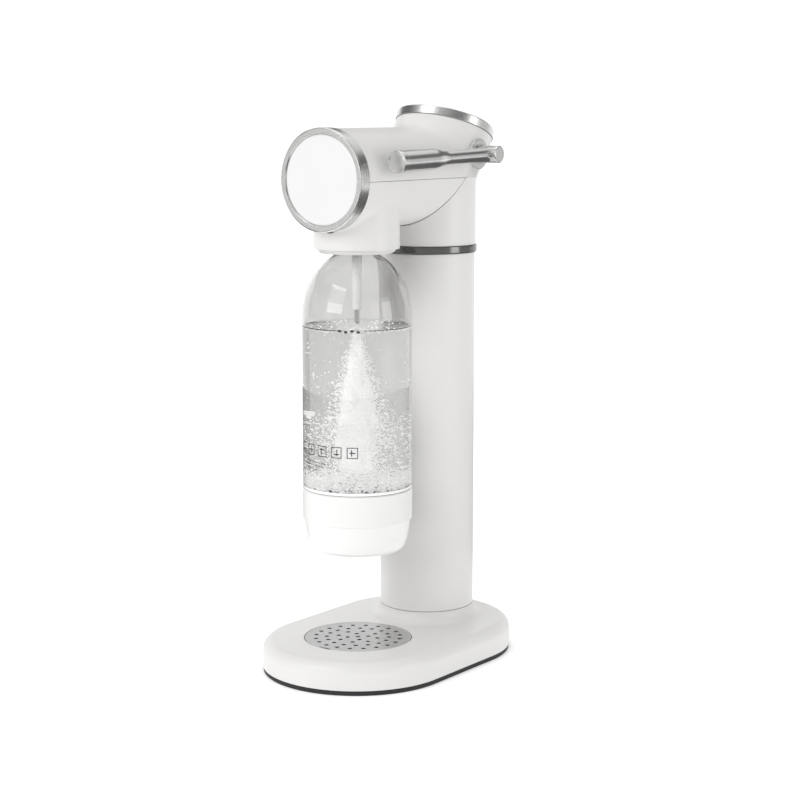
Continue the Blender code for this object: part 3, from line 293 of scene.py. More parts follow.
def froth_with_painted_glow(name, strength, roughness=0.25):
    """White froth: bubbles with a painted glow, an emission that stands in for the light scattered between
    them.
    """
    made, tree, shader, place = node_tree(name)
    cells = noise(tree, stretched(tree, place), 700, 3)
    tinted(tree, shader, cells, (0.86, 0.87, 0.87), (0.98, 0.98, 0.98))
    shader.inputs["Roughness"].default_value = roughness
    shader.inputs["Emission Color"].default_value = (1, 1, 1, 1)
    shader.inputs["Emission Strength"].default_value = strength
    bumped(tree, shader, cells, 0.05 * MM, 0.3)
    return made


def printed(name):
    """Grey ink, a little thin in places."""
    made, tree, shader, place = node_tree(name)
    wear = noise(tree, stretched(tree, place), 1400, 3)
    tinted(tree, shader, wear, (0.015, 0.015, 0.018), (0.04, 0.04, 0.045))
    shader.inputs["Roughness"].default_value = 0.5
    return made


FINISHES = {}


def make_finishes(context):
    """Fills FINISHES with one material for each finish."""
    housing = context.scene.carbonator_housing
    metal = context.scene.carbonator_metal
    white = tuple(housing.white)
    silver = tuple(metal.silver)
    FINISHES.update(
        white_plastic=moulded("moulded_white", white, housing.roughness),
        cup_white=moulded("bottle_cup_white", (0.85, 0.85, 0.84), 0.3),
        gloss_white=moulded("gloss_white", tuple(housing.disc), 0.16, 0.01 * MM, 0.6),
        trim_round=brushed("trim_turned", silver, metal.roughness, (1, 9, 1)),
        trim_top=brushed("trim_top", silver, metal.roughness, (1, 1, 9)),
        trim_dark=brushed("trim_dark", tuple(metal.dark), 0.16, (1, 1, 9)),
        satin_chrome=brushed("lever_metal", silver, 0.24, (6, 1, 6)),
        steel=brushed("steel", (0.6, 0.6, 0.6), 0.3, (1, 6, 1)),
        grille=brushed("grille_steel", (0.56, 0.56, 0.555), 0.34, (1, 7, 1)),
        black_rubber=cast("foot_rubber", tuple(housing.rubber), 0.62, 0.08 * MM),
        grey_plastic=cast("grey_plastic", (0.09, 0.09, 0.092), 0.5, 0.05 * MM),
        clear_plastic=clear("bottle_clear", (0.77, 0.768, 0.762), 1.45, 30),
        water=clear("water", (0.86, 0.862, 0.858), 1.33, 55),
        # froth and bubble glow with painted light: an emission in place of the light that lights them.
        froth=froth_with_painted_glow("froth", 0.34),
        bubble=froth_with_painted_glow("bubble", 0.42, 0.12),
        ink=printed("bottle_ink"),
        silicone=cast("silicone", (0.62, 0.62, 0.6), 0.55, 0.03 * MM),
        brass=brushed("brass", (0.74, 0.55, 0.27), 0.28, (1, 1, 6)),
        bronze=cast("bronze", (0.5, 0.34, 0.18), 0.45, 0.05 * MM, 1.0),
        zinc_plate=brushed("zinc_plate", (0.56, 0.57, 0.6), 0.38, (5, 1, 1)),
        cylinder_paint=cast("cylinder_paint", (0.1, 0.17, 0.36), 0.32, 0.04 * MM),
        # The nylon tube gets a faint painted glow from the froth material.
        nylon_tube=froth_with_painted_glow("nylon_tube", 0.1),
    )


# ---------------------------------------------------------------- mesh tools
def rounded(points, steps=5):
    """A profile whose three-number points (radius, height, fillet) get round corners."""
    out = []
    for i, point in enumerate(points):
        here = Vector(point[:2])
        if len(point) < 3:
            out.append(here)
            continue
        before, after = Vector(points[i - 1][:2]), Vector(points[(i + 1) % len(points)][:2])
        back, on = before - here, after - here
        half = back.angle(on) / 2
        reach = min(point[2] / math.tan(half), back.length * 0.48, on.length * 0.48)
        start, end = here + back.normalized() * reach, here + on.normalized() * reach
        for k in range(steps + 1):
            t = k / steps
            out.append(start * (1 - t) ** 2 + here * (2 * t * (1 - t)) + end * t ** 2)
    return out


def arc(centre, radius, start, end, steps):
    """(radius, height) points round a centre, angles in degrees."""
    turns = [math.radians(start + (end - start) * i / steps) for i in range(steps + 1)]
    return [(centre[0] + radius * math.cos(a), centre[1] + radius * math.sin(a)) for a in turns]


def finish_piece(obj, finish, body, node=None, sharp=38):
    """Gives a mesh its finish, even shading and its place on a body, and hides any node it stands in for."""
    obj.data.materials.append(FINISHES[finish])
    obj.data.shade_smooth()
    obj.data.set_sharp_from_angle(angle=math.radians(sharp))
    even = obj.modifiers.new("Even shading", "WEIGHTED_NORMAL")
    even.keep_sharp = True
    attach(obj, body)
    if node:
        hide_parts(node)
    return obj


def object_from(name, bm):
    bmesh.ops.remove_doubles(bm, verts=bm.verts, dist=1e-7)
    bmesh.ops.recalc_face_normals(bm, faces=bm.faces)
    mesh = bpy.data.meshes.new(name)
    bm.to_mesh(mesh)
    bm.free()
    obj = bpy.data.objects.new(name, mesh)
    bpy.context.scene.collection.objects.link(obj)
    return obj


def lathe_mesh(profile, sides, placed):
    """Spins (radius, height) points about local Z; a profile that leaves the axis open closes into a ring."""
    bm = bmesh.new()
    verts = [bm.verts.new((p[0], 0, p[1])) for p in profile]
    on_axis = abs(profile[0][0]) < 1e-9 and abs(profile[-1][0]) < 1e-9
    ends = verts[1:] if on_axis else verts[1:] + verts[:1]
    edges = [bm.edges.new(pair) for pair in zip(verts, ends)]
    bmesh.ops.spin(bm, geom=verts + edges, cent=(0, 0, 0), axis=(0, 0, 1), angle=2 * math.pi, steps=sides,
                   use_merge=True)
    bmesh.ops.transform(bm, matrix=placed, verts=bm.verts)
    return bm


def lathe(name, profile, sides=FINE, placed=Matrix.Identity(4)):
    return object_from(name, lathe_mesh(profile, sides, placed))


def turned_piece(name, section, placed, finish, node, body="stand", sides=FINE, sharp=38):
    """A lathed piece with its finish, in place of one node of the frame."""
    return finish_piece(lathe(name, section, sides, placed), finish, body, node, sharp)


def at(point):
    return Matrix.Translation(point)


def face_on(point, direction):
    """A placement whose local +Z runs along direction."""
    return at(point) @ Vector(direction).to_track_quat("Z", "Y").to_matrix().to_4x4()


def lofted(name, loops):
    bm = bmesh.new()
    rings = [[bm.verts.new(p) for p in loop] for loop in loops]
    for low, high in zip(rings, rings[1:]):
        for i in range(len(low)):
            j = (i + 1) % len(low)
            bm.faces.new((low[i], low[j], high[j], high[i]))
    bm.faces.new(rings[0][::-1])
    bm.faces.new(rings[-1])
    return object_from(name, bm)


def settled(obj):
    """Applies an object's modifiers."""
    graph = bpy.context.evaluated_depsgraph_get()
    mesh = bpy.data.meshes.new_from_object(obj.evaluated_get(graph))
    obj.modifiers.clear()
    obj.data = mesh
    return obj


def combine(obj, other, operation):
    step = obj.modifiers.new(operation.title(), "BOOLEAN")
    step.object = other
    step.operation = operation
    step.solver = "EXACT"
    settled(obj)
    bpy.data.objects.remove(other)
    return obj


def merged(obj, *others):
    """Puts other meshes into this one as loose parts."""
    bm = bmesh.new()
    bm.from_mesh(obj.data)
    for other in others:
        bm.from_mesh(other.data)
        bpy.data.objects.remove(other)
    bm.to_mesh(obj.data)
    bm.free()
    return obj


# ---------------------------------------------------------------- the head's skin
def distance_to_barrel(points):
    return np.hypot(points[:, 0], points[:, 2] - BARREL_Z) - BARREL_RADIUS


def behind_mitre(points):
    """How far points lie behind the 45 degree plane where barrel and neck meet."""
    return ((points[:, 1] - JUNCTION.y) - (points[:, 2] - JUNCTION.z)) / math.sqrt(2)


def distance_to_stub(points):
    """A pipe whose round section stays parallel to the top rim, while its middle leans back to it."""
    axis, start, end = np.array(RIM_AXIS), np.array(JUNCTION), np.array(RIM_BASE)
    t = (points - start) @ axis / ((end - start) @ axis)
    centre = start + t[:, None] * (end - start)
    radius = BARREL_RADIUS + (RIM_RADIUS - 0.6 * MM - BARREL_RADIUS) * np.clip(t, 0, 1.4)
    return np.linalg.norm(points - centre, axis=1) - radius


def distance_to_upright(points, centre, radius):
    return np.hypot(points[:, 0] - centre.x, points[:, 1] - centre.y) - radius


def slope(field, points, step=0.02 * MM):
    """Unit gradient of a distance field."""
    parts = []
    for k in range(3):
        shift = np.zeros(3)
        shift[k] = step
        parts.append((field(points + shift) - field(points - shift)) / (2 * step))
    found = np.stack(parts, axis=1)
    return found / np.maximum(np.linalg.norm(found, axis=1, keepdims=True), 1e-9)


def run_together(first, second, width):
    """Union of two fields with a fillet where they meet at an angle, and none where they run alongside."""

    def field(points):
        a, b = first(points), second(points)
        meet = 1 - np.clip((slope(first, points) * slope(second, points)).sum(axis=1), 0, 1)
        reach = np.maximum(width * meet, 1e-6)
        overlap = np.maximum(reach - np.abs(a - b), 0) / reach
        return np.minimum(a, b) - overlap ** 2 * reach / 4

    return field


def drawn_onto(obj, field, rounds=5):
    """Moves an object's vertices onto the zero surface of a field."""
    count = len(obj.data.vertices)
    points = np.empty(count * 3)
    obj.data.vertices.foreach_get("co", points)
    points = points.reshape(-1, 3)
    for _ in range(rounds):
        points = points - field(points)[:, None] * slope(field, points)
    obj.data.vertices.foreach_set("co", points.ravel())
    obj.data.update()


def skin(name, solids, field, planes, voxel):
    """A skin over joined solids, drawn onto a smooth field and trimmed by (point, normal kept) planes."""
    obj = solids[0]
    obj.name = name
    for other in solids[1:]:
        combine(obj, other, "UNION")
    grid = obj.modifiers.new("Grid", "REMESH")
    grid.mode = "VOXEL"
    grid.voxel_size = voxel
    settled(obj)
    drawn_onto(obj, field)
    bm = bmesh.new()
    bm.from_mesh(obj.data)
    for point, kept in planes:
        bmesh.ops.bisect_plane(bm, geom=bm.verts[:] + bm.edges[:] + bm.faces[:], dist=1e-6, plane_co=point,
                               plane_no=kept, clear_inner=True)
    bm.to_mesh(obj.data)
    bm.free()
    wall = obj.modifiers.new("Wall", "SOLIDIFY")
    wall.thickness = 2 * MM
    wall.offset = -1
    return settled(obj)


def barrel_solid(front, back):
    return lathe("barrel", [(0, 0), (BARREL_RADIUS, 0), (BARREL_RADIUS, back - front), (0, back - front)], 96,
                 face_on((0, front, BARREL_Z), (0, 1, 0)))


def stub_solid(below, above):
    """The leaning pipe, run on past both of its ends."""
    lean = (RIM_BASE - JUNCTION).normalized()
    loops = []
    ends = ((JUNCTION - lean * below, BARREL_RADIUS), (RIM_BASE + lean * above, RIM_RADIUS))
    for middle_point, radius in ends:
        across = Vector((1, 0, 0))
        along = RIM_AXIS.cross(across)
        turns = [2 * math.pi * i / 96 for i in range(96)]
        loops.append([middle_point + radius * (math.cos(a) * across + math.sin(a) * along) for a in turns])
    return lofted("stub", loops)


def upright_solid(centre, radius, low, high):
    return lathe("upright", [(0, low), (radius, low), (radius, high), (0, high)], 96, at(centre))


def make_head_skins(settings):
    mitre_normal = Vector((0, 1, -1)).normalized()
    lap = 7 * MM
    side = 0.02 * MM

    def barrel_before_mitre(points):
        return np.maximum(distance_to_barrel(points), behind_mitre(points))

    upper = skin(
        "head_upper_skin",
        [barrel_solid(BARREL_FRONT - lap, COLUMN_AXIS.y), stub_solid(lap, 25 * MM)],
        run_together(barrel_before_mitre, distance_to_stub, settings.fillet),
        [((0, 0, SEAM_HIGH), (0, 0, 1)), ((0, BARREL_FRONT, 0), (0, 1, 0)),
         (RIM_BASE - RIM_AXIS * side, -RIM_AXIS)],
        settings.voxel,
    )
    finish_piece(upper, "white_plastic", "stand", "head_upper_shell", sharp=50)

    def boss(points):
        return distance_to_upright(points, BOTTLE_AXIS, BOSS_RADIUS)

    lower = skin(
        "head_lower_skin",
        [barrel_solid(BARREL_FRONT - lap, COLUMN_AXIS.y + 30 * MM),
         upright_solid(BOTTLE_AXIS, BOSS_RADIUS, BOSS_BOTTOM - lap, BARREL_Z)],
        run_together(distance_to_barrel, boss, 3 * MM),
        [((0, 0, SEAM_LOW), (0, 0, -1)), ((0, BARREL_FRONT, 0), (0, 1, 0)), ((0, 0, BOSS_BOTTOM), (0, 0, 1)),
         (JUNCTION - mitre_normal * side, -mitre_normal)],
        settings.voxel,
    )
    finish_piece(lower, "white_plastic", "stand", "head_lower_shell", sharp=50)

    neck_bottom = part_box("column_trim_ring")[1].z + GAP

    def upright(points):
        return distance_to_upright(points, COLUMN_AXIS, NECK_RADIUS)

    def stub_above_junction(points):
        return np.maximum(distance_to_stub(points), (np.array(JUNCTION) - points) @ np.array(RIM_AXIS))

    neck = skin(
        "neck_skin",
        [upright_solid(COLUMN_AXIS, NECK_RADIUS, neck_bottom - lap, JUNCTION.z + 25 * MM), stub_solid(0, 0)],
        run_together(upright, stub_above_junction, 2 * MM),
        [((0, 0, SEAM_LOW), (0, 0, -1)), ((0, 0, neck_bottom), (0, 0, 1)),
         (JUNCTION + mitre_normal * side, mitre_normal)],
        settings.voxel,
    )
    finish_piece(neck, "white_plastic", "stand", "neck_shell", sharp=50)


def make_faced_end(name, node_ring, node_disc, radius, depth, centre, inward, metal):
    """A turned metal ring and the shallow domed disc set in it; inward runs from the face into the head."""
    placed = face_on(centre, inward)
    face = radius - 5 * MM
    turned_piece(name + "_ring", rounded([
        (face, 0.9 * MM, 0.2 * MM), (face + 0.5 * MM, 0, 0.25 * MM), (radius - 0.9 * MM, 0, 0.6 * MM),
        (radius, 0.9 * MM, 0.5 * MM), (radius, depth, 0.3 * MM), (radius - 3 * MM, depth), (face, 6 * MM)]),
        placed, metal, node_ring)
    edge = face - 0.15 * MM
    lip = 1.1 * MM
    rise = 0.45 * MM
    turns = [math.pi / 2 * i / 10 for i in range(1, 11)]
    bulge = [(edge * math.cos(a), lip - rise * math.sin(a)) for a in turns]
    back = [(0, lip + 3 * MM), (edge, lip + 3 * MM), (edge, lip + 0.25 * MM)]
    turned_piece(name + "_disc", back + bulge[:-1] + [(0, lip - rise)], placed, "gloss_white", node_disc)


# ---------------------------------------------------------------- operators
class CARBONATOR_OT_finishes(bpy.types.Operator):
    """Make the materials that the pieces share"""

    bl_idname = "carbonator.finishes"
    bl_label = "Finishes"

    def execute(self, context):
        make_finishes(context)
        return {"FINISHED"}


class CARBONATOR_OT_base(bpy.types.Operator):
    """Make the oval base with its column collar and the black foot band"""

    bl_idname = "carbonator.base"
    bl_label = "Base"

    def execute(self, context):
        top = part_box("drip_grille")[1].z + 0.4 * MM
        edge = 9 * MM
        loops = [stadium(0, BASE_LOW.z), stadium(0, top - edge)]
        for i in range(1, 15):
            a = math.pi / 2 * i / 14
            loops.append(stadium(edge * (1 - math.cos(a)), top - edge + edge * math.sin(a)))
        body = lofted("base_skin", loops)
        wall = 2.5 * MM
        ceiling = top - 6.6 * MM
        below = BASE_LOW.z - wall
        hollow = [stadium(wall, below), stadium(wall, top - edge), stadium(wall + MM, ceiling)]
        combine(body, lofted("hollow", hollow), "DIFFERENCE")
        cup_radius = span("drip_cup").x / 2
        bore, recess, ledge = cup_radius - 2.2 * MM, cup_radius + 0.5 * MM, top - 2.6 * MM
        well = lathe("well", [(0, ceiling - wall), (bore, ceiling - wall), (bore, ledge), (recess, ledge),
                              (recess, top - 0.5 * MM), (recess + 0.5 * MM, top + 0.1 * MM),
                              (recess + 0.5 * MM, top + wall), (0, top + wall)], FINE, at(BOTTLE_AXIS))
        combine(body, well, "DIFFERENCE")
        column_bore = COLUMN_RADIUS - wall
        combine(body, upright_solid(COLUMN_AXIS, column_bore, below, top + wall), "DIFFERENCE")
        foot = 9 * MM
        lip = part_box("base_housing")[1].z
        centre = (COLUMN_RADIUS + foot, top + foot)
        end = 180 + math.degrees(math.asin((centre[1] - lip) / foot))
        collar = lathe("collar", [(column_bore, ceiling), (centre[0], ceiling)]
                       + arc(centre, foot, 270, end, 14) + [(column_bore, lip)], FINE, at(COLUMN_AXIS))
        merged(body, collar)
        finish_piece(body, "white_plastic", "stand", "base_housing", sharp=34)
        low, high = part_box("foot_ring")
        band = lofted("foot_band", [stadium(1.0 * MM, low.z), stadium(0.45 * MM, low.z + 0.5 * MM),
                                    stadium(0.4 * MM, high.z)])
        band_width = 13.5 * MM
        inside = [stadium(band_width, low.z - wall), stadium(band_width, high.z + wall)]
        combine(band, lofted("inside", inside), "DIFFERENCE")
        finish_piece(band, "black_rubber", "stand", "foot_ring")
        return {"FINISHED"}


def stadium(inset, z, per_end=72):
    """The base's outline at a height, moved inwards by inset."""
    width = (BASE_HIGH.x - BASE_LOW.x) / 2
    straight = (BASE_HIGH.y - BASE_LOW.y) / 2 - width
    points = []
    for centre_y, start in ((straight, 0.0), (-straight, math.pi)):
        for i in range(per_end + 1):
            a = start + math.pi * i / per_end
            points.append(((width - inset) * math.cos(a), centre_y + (width - inset) * math.sin(a), z))
    return points


GRILLE_RINGS = ((0.0, 1), (8.2 * MM, 4), (15.7 * MM, 8), (24.6 * MM, 16), (33.4 * MM, 20))  # (radius, holes)
GRILLE_HOLE = 1.8 * MM


class CARBONATOR_OT_drip_tray(bpy.types.Operator):
    """Make the perforated steel grille"""

    bl_idname = "carbonator.drip_tray"
    bl_label = "Drip tray"

    def execute(self, context):
        low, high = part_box("drip_grille")
        radius = (high.x - low.x) / 2
        section = [(0, low.z), (radius, low.z, 0.1 * MM), (radius, high.z, 0.3 * MM), (0, high.z)]
        plate = lathe("grille_plate", rounded(section), FINE, at(BOTTLE_AXIS))
        holes = bmesh.new()
        for reach, count in GRILLE_RINGS:
            for i in range(count):
                a = 2 * math.pi * (i + 0.5) / count
                spot = BOTTLE_AXIS + Vector((reach * math.cos(a), reach * math.sin(a), low.z))
                bmesh.ops.create_cone(holes, cap_ends=True, segments=20, radius1=GRILLE_HOLE,
                                      radius2=GRILLE_HOLE, depth=6 * MM, matrix=at(spot))
        combine(plate, object_from("holes", holes), "DIFFERENCE")
        notch_centre = BOTTLE_AXIS - Vector((0, radius + 7.4 * MM, 0))
        combine(plate, upright_solid(notch_centre, 10 * MM, 0, 40 * MM), "DIFFERENCE")
        finish_piece(plate, "grille", "drip_grille", "drip_grille")
        return {"FINISHED"}


class CARBONATOR_OT_column(bpy.types.Operator):
    """Make the column and the dark ring over it"""

    bl_idname = "carbonator.column"
    bl_label = "Column"

    def execute(self, context):
        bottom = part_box("base_housing")[1].z + 0.35 * MM
        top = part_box("column_shell")[1].z
        inner = COLUMN_RADIUS - 2.5 * MM
        turned_piece("column_tube", rounded([
            (inner, bottom), (COLUMN_RADIUS, bottom, 0.5 * MM), (COLUMN_RADIUS, top, 0.4 * MM),
            (inner, top)]), at(COLUMN_AXIS), "white_plastic", "column_shell")
        low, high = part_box("column_trim_ring")
        radius = (high.x - low.x) / 2
        turned_piece("column_ring", rounded([
            (inner, low.z), (radius, low.z, 0.7 * MM), (radius, high.z, 0.7 * MM), (inner, high.z)]),
            at(COLUMN_AXIS), "trim_dark", "column_trim_ring")
        return {"FINISHED"}


class CARBONATOR_OT_head(bpy.types.Operator):
    """Make the head's three skins, its two end rings and their discs"""

    bl_idname = "carbonator.head"
    bl_label = "Head"

    def execute(self, context):
        make_head_skins(context.scene.carbonator_housing)
        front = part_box("front_trim_ring")[0].y
        make_faced_end("front", "front_trim_ring", "front_disc", RING_RADIUS, 10 * MM,
                       (0, front, BARREL_Z), (0, 1, 0), "trim_round")
        make_faced_end("top", "top_trim_ring", "top_disc", RIM_RADIUS, RIM_DEPTH - GAP,
                       RIM_TOP, -RIM_AXIS, "trim_top")
        return {"FINISHED"}


LEVER_OUT = 50 * MM  # from the middle of the machine to the lever's line
LEVER_LENGTH = 122 * MM
LEVER_DROOP = math.radians(1.6)


class CARBONATOR_OT_lever(bpy.types.Operator):
    """Make the lever's flange, hub, neck, grip and end cap"""

    bl_idname = "carbonator.lever"
    bl_label = "Lever"

    def execute(self, context):
        hub_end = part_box("lever_arm")[1].x
        hub_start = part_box("lever_arm")[0].x
        flange_low, flange_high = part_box("lever_flange")
        flange_radius = (flange_high.y - flange_low.y) / 2
        flange_seat = 33 * MM
        turned_piece("lever_plate", rounded([
            (0, flange_seat), (flange_radius, flange_seat), (flange_radius, flange_high.x, 0.9 * MM),
            (7.6 * MM, flange_high.x, 0.4 * MM), (7.2 * MM, flange_high.x - 0.5 * MM),
            (0, flange_high.x - 0.5 * MM)]),
            face_on(PIVOT, (1, 0, 0)), "satin_chrome", "lever_flange", sides=SIDES)
        hub_radius = 6.7 * MM
        hub = lathe("lever_hub", rounded([
            (0, hub_start), (hub_radius, hub_start, 0.5 * MM), (hub_radius, hub_end, 1.1 * MM),
            (0, hub_end)]), SIDES, face_on(PIVOT, (1, 0, 0)))
        line = Vector((0, -1, -math.tan(LEVER_DROOP))).normalized()
        start = PIVOT + Vector((LEVER_OUT, 0, 0))
        length = LEVER_LENGTH
        placed = face_on(start, line)
        neck_radius, neck_end = 5.5 * MM, 62 * MM
        neck = lathe("lever_neck", rounded([
            (0, 4 * MM), (6.1 * MM, 4 * MM), (neck_radius, 22 * MM), (neck_radius, neck_end), (0, neck_end)]),
            SIDES, placed)
        combine(hub, neck, "UNION")
        hub.name = "lever_hub"
        finish_piece(hub, "satin_chrome", "lever", "lever_arm")
        taper_start, taper_end = 59.5 * MM, 79 * MM
        sleeve_radius, grip_radius, grip_bore = neck_radius + 0.25 * MM, 8.1 * MM, 5.0 * MM
        grip_end = length - 4.4 * MM
        taper = []
        for i in range(17):
            t = i / 16
            ease = t * t * (3 - 2 * t)
            taper.append((sleeve_radius + (grip_radius - sleeve_radius) * ease,
                          taper_start + (taper_end - taper_start) * t))
        turned_piece("lever_grip_tube", rounded(
            [(grip_bore, taper_start)] + taper + [(grip_radius, grip_end, 0.4 * MM), (grip_bore, grip_end)]),
            placed, "satin_chrome", "lever_grip", "lever", SIDES)
        cap_radius = 8.6 * MM
        turned_piece("lever_cap", rounded([
            (0, length - 4 * MM), (cap_radius, length - 4 * MM, 0.5 * MM), (cap_radius, length, 0.7 * MM),
            (cap_radius - 1.3 * MM, length, 0.2 * MM), (cap_radius - 1.6 * MM, length - 0.5 * MM, 0.2 * MM),
            (cap_radius - 2.0 * MM, length - 0.35 * MM, 0.2 * MM), (0, length - 0.1 * MM)]),
            placed, "satin_chrome", "lever_end_cap", "lever", SIDES)
        return {"FINISHED"}


class CARBONATOR_OT_nozzle(bpy.types.Operator):
    """Make the ring the bottle screws into, and the tube and tip that reach into the water"""

    bl_idname = "carbonator.nozzle"
    bl_label = "Nozzle"

    def execute(self, context):
        low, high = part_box("bottle_collar")
        radius = (high.x - low.x) / 2
        step = BOSS_BOTTOM + 2.6 * MM
        turned_piece("collar_ring", rounded([
            (22 * MM, low.z, 0.4 * MM), (radius - 2.4 * MM, low.z, 0.5 * MM),
            (radius, low.z + 2.2 * MM, 0.8 * MM), (radius, step), (19 * MM, step), (19 * MM, high.z),
            (15 * MM, high.z), (15 * MM, low.z + 6 * MM)]),
            at(BOTTLE_AXIS), "white_plastic", "bottle_collar")
        low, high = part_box("carbonation_tube")
        # The tube's nylon_tube finish glows faintly: painted light.
        turned_piece("gas_tube", rounded([
            (1.6 * MM, low.z), (3.1 * MM, low.z, 0.3 * MM), (3.5 * MM, low.z + 1.4 * MM, 0.3 * MM),
            (3.5 * MM, low.z + 20 * MM), (4.0 * MM, high.z - 26 * MM), (4.0 * MM, high.z),
            (1.6 * MM, high.z)]), at(BOTTLE_AXIS), "nylon_tube", "carbonation_tube", sides=SIDES)
        low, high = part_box("nozzle_tip")
        turned_piece("gas_tip", rounded([
            (0.5 * MM, low.z), (1.5 * MM, low.z, 0.3 * MM), (1.95 * MM, low.z + 1.2 * MM, 0.3 * MM),
            (1.95 * MM, high.z - 6.4 * MM, 0.2 * MM), (1.3 * MM, high.z - 6.4 * MM), (1.3 * MM, high.z),
            (0.5 * MM, high.z)]), at(BOTTLE_AXIS), "steel", "nozzle_tip", sides=32)
        return {"FINISHED"}


# ---------------------------------------------------------------- bottle
BOTTLE_RADIUS = span("bottle_body").x / 2
BOTTLE_WALL = 1.4 * MM
BOTTLE_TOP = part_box("bottle_body")[1].z
CUP_LOW, CUP_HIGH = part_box("bottle_base_cup")
SHOULDER_START = 278 * MM
SHOULDER_HEIGHT = 53 * MM
NECK_OUTER = 13.6 * MM
NECK_INNER = 11.4 * MM


def dome(inset, top_radius, steps=20):
    """(radius, height) points up the bottle's shoulder until it is top_radius wide."""
    wide, tall = BOTTLE_RADIUS - inset, SHOULDER_HEIGHT - inset
    last = math.acos(top_radius / wide)
    turns = [last * i / steps for i in range(steps + 1)]
    return [(wide * math.cos(a), SHOULDER_START + tall * math.sin(a)) for a in turns]


def bottle_floor(offset):
    low = CUP_LOW.z + 6 * MM
    return [(0, low + 3 * MM - offset), (17 * MM, low + 1.4 * MM - offset), (25 * MM, low - offset)] + arc(
        (27.2 * MM, low + 10 * MM), 10 * MM + offset, -78, 0, 8) + [
        (40 * MM + offset, low + 21.5 * MM), (40.4 * MM + offset, CUP_HIGH.z + 0.3 * MM)]


def inside_width(z):
    """Radius of the bottle's inside at a height over its cup."""
    if z <= SHOULDER_START:
        return BOTTLE_RADIUS - BOTTLE_WALL
    rise = (z - SHOULDER_START) / (SHOULDER_HEIGHT - BOTTLE_WALL)
    return (BOTTLE_RADIUS - BOTTLE_WALL) * math.sqrt(max(0.0, 1 - rise * rise))


def make_bottle_body():
    neck_base = SHOULDER_START + SHOULDER_HEIGHT * math.sin(math.acos(17 * MM / BOTTLE_RADIUS))
    step = CUP_HIGH.z + 0.3 * MM
    outer = bottle_floor(0) + [(BOTTLE_RADIUS, step)] + dome(0, 17 * MM)
    neck = rounded([
        (NECK_OUTER, neck_base + 2.2 * MM, 1.5 * MM), (NECK_OUTER, BOTTLE_TOP - 6 * MM, 0.4 * MM),
        (NECK_OUTER + MM, BOTTLE_TOP - 5 * MM, 0.4 * MM), (NECK_OUTER + MM, BOTTLE_TOP - 3 * MM, 0.4 * MM),
        (NECK_OUTER, BOTTLE_TOP - 2 * MM, 0.3 * MM), (NECK_OUTER, BOTTLE_TOP, 0.4 * MM),
        (NECK_INNER, BOTTLE_TOP, 0.4 * MM), (NECK_INNER, neck_base - MM, MM)], 3)
    inner = dome(BOTTLE_WALL, 14.5 * MM)[::-1] + [(BOTTLE_RADIUS - BOTTLE_WALL, step + 0.9 * MM)]
    section = outer + neck + inner + bottle_floor(-BOTTLE_WALL)[::-1]
    shell = turned_piece("bottle_shell", section, at(BOTTLE_AXIS), "clear_plastic", "bottle_body", "bottle")
    shell.visible_shadow = False


def make_bottle_cup():
    low, high = CUP_LOW.z, CUP_HIGH.z
    wide = (CUP_HIGH.x - CUP_LOW.x) / 2
    seam = low + 24.5 * MM
    side = rounded([
        (29 * MM, low, MM), (33.5 * MM, low, 2 * MM), (36.4 * MM, low + 2.6 * MM, 3 * MM),
        (38.8 * MM, low + 9 * MM, 6 * MM), (wide - 1.35 * MM, seam - 0.6 * MM, 0.5 * MM),
        (wide - 0.1 * MM, seam + 0.5 * MM, 0.5 * MM), (wide, high - 0.8 * MM, 0.6 * MM),
        (wide - 0.8 * MM, high, 0.4 * MM)], 5)
    inside = bottle_floor(0.3 * MM)[::-1]
    section = [(0, low + 2 * MM), (27 * MM, low + 2 * MM)] + side + [(inside[0][0], high)] + inside[1:]
    turned_piece("bottle_cup", section, at(BOTTLE_AXIS), "cup_white", "bottle_base_cup", "bottle", sharp=30)


def make_glowing_cup_lip():
    """The bright line of the cup's bonded edge, seen through the wall just over the cup: a ring with a
    painted glow from the froth finish, where the gap would lie in shade.
    """
    low = CUP_HIGH.z + 0.5 * MM
    reach = BOTTLE_RADIUS - 0.25 * MM
    lip = lathe("cup_lip", rounded([
        (reach - 0.9 * MM, low), (reach, low, 0.2 * MM), (reach, low + 2.0 * MM, 0.5 * MM),
        (reach - 0.9 * MM, low + 2.3 * MM, 0.2 * MM)]), FINE, at(BOTTLE_AXIS))
    finish_piece(lip, "froth", "bottle")


def make_water(level):
    """Water whose outside lies within the bottle's wall, with a curled edge at its surface."""
    wide = BOTTLE_RADIUS - BOTTLE_WALL + 0.35 * MM
    floor = bottle_floor(-BOTTLE_WALL + 0.35 * MM)
    surface = [(wide - 0.1 * MM, level + 1.0 * MM), (wide - 0.9 * MM, level + 0.3 * MM),
               (wide - 2.6 * MM, level), (wide * 0.5, level), (0, level)]
    water = lathe("water", floor + [(wide, CUP_HIGH.z + 3 * MM), (wide, level)] + surface, FINE,
                  at(BOTTLE_AXIS))
    finish_piece(water, "water", "bottle")
    water.visible_shadow = False


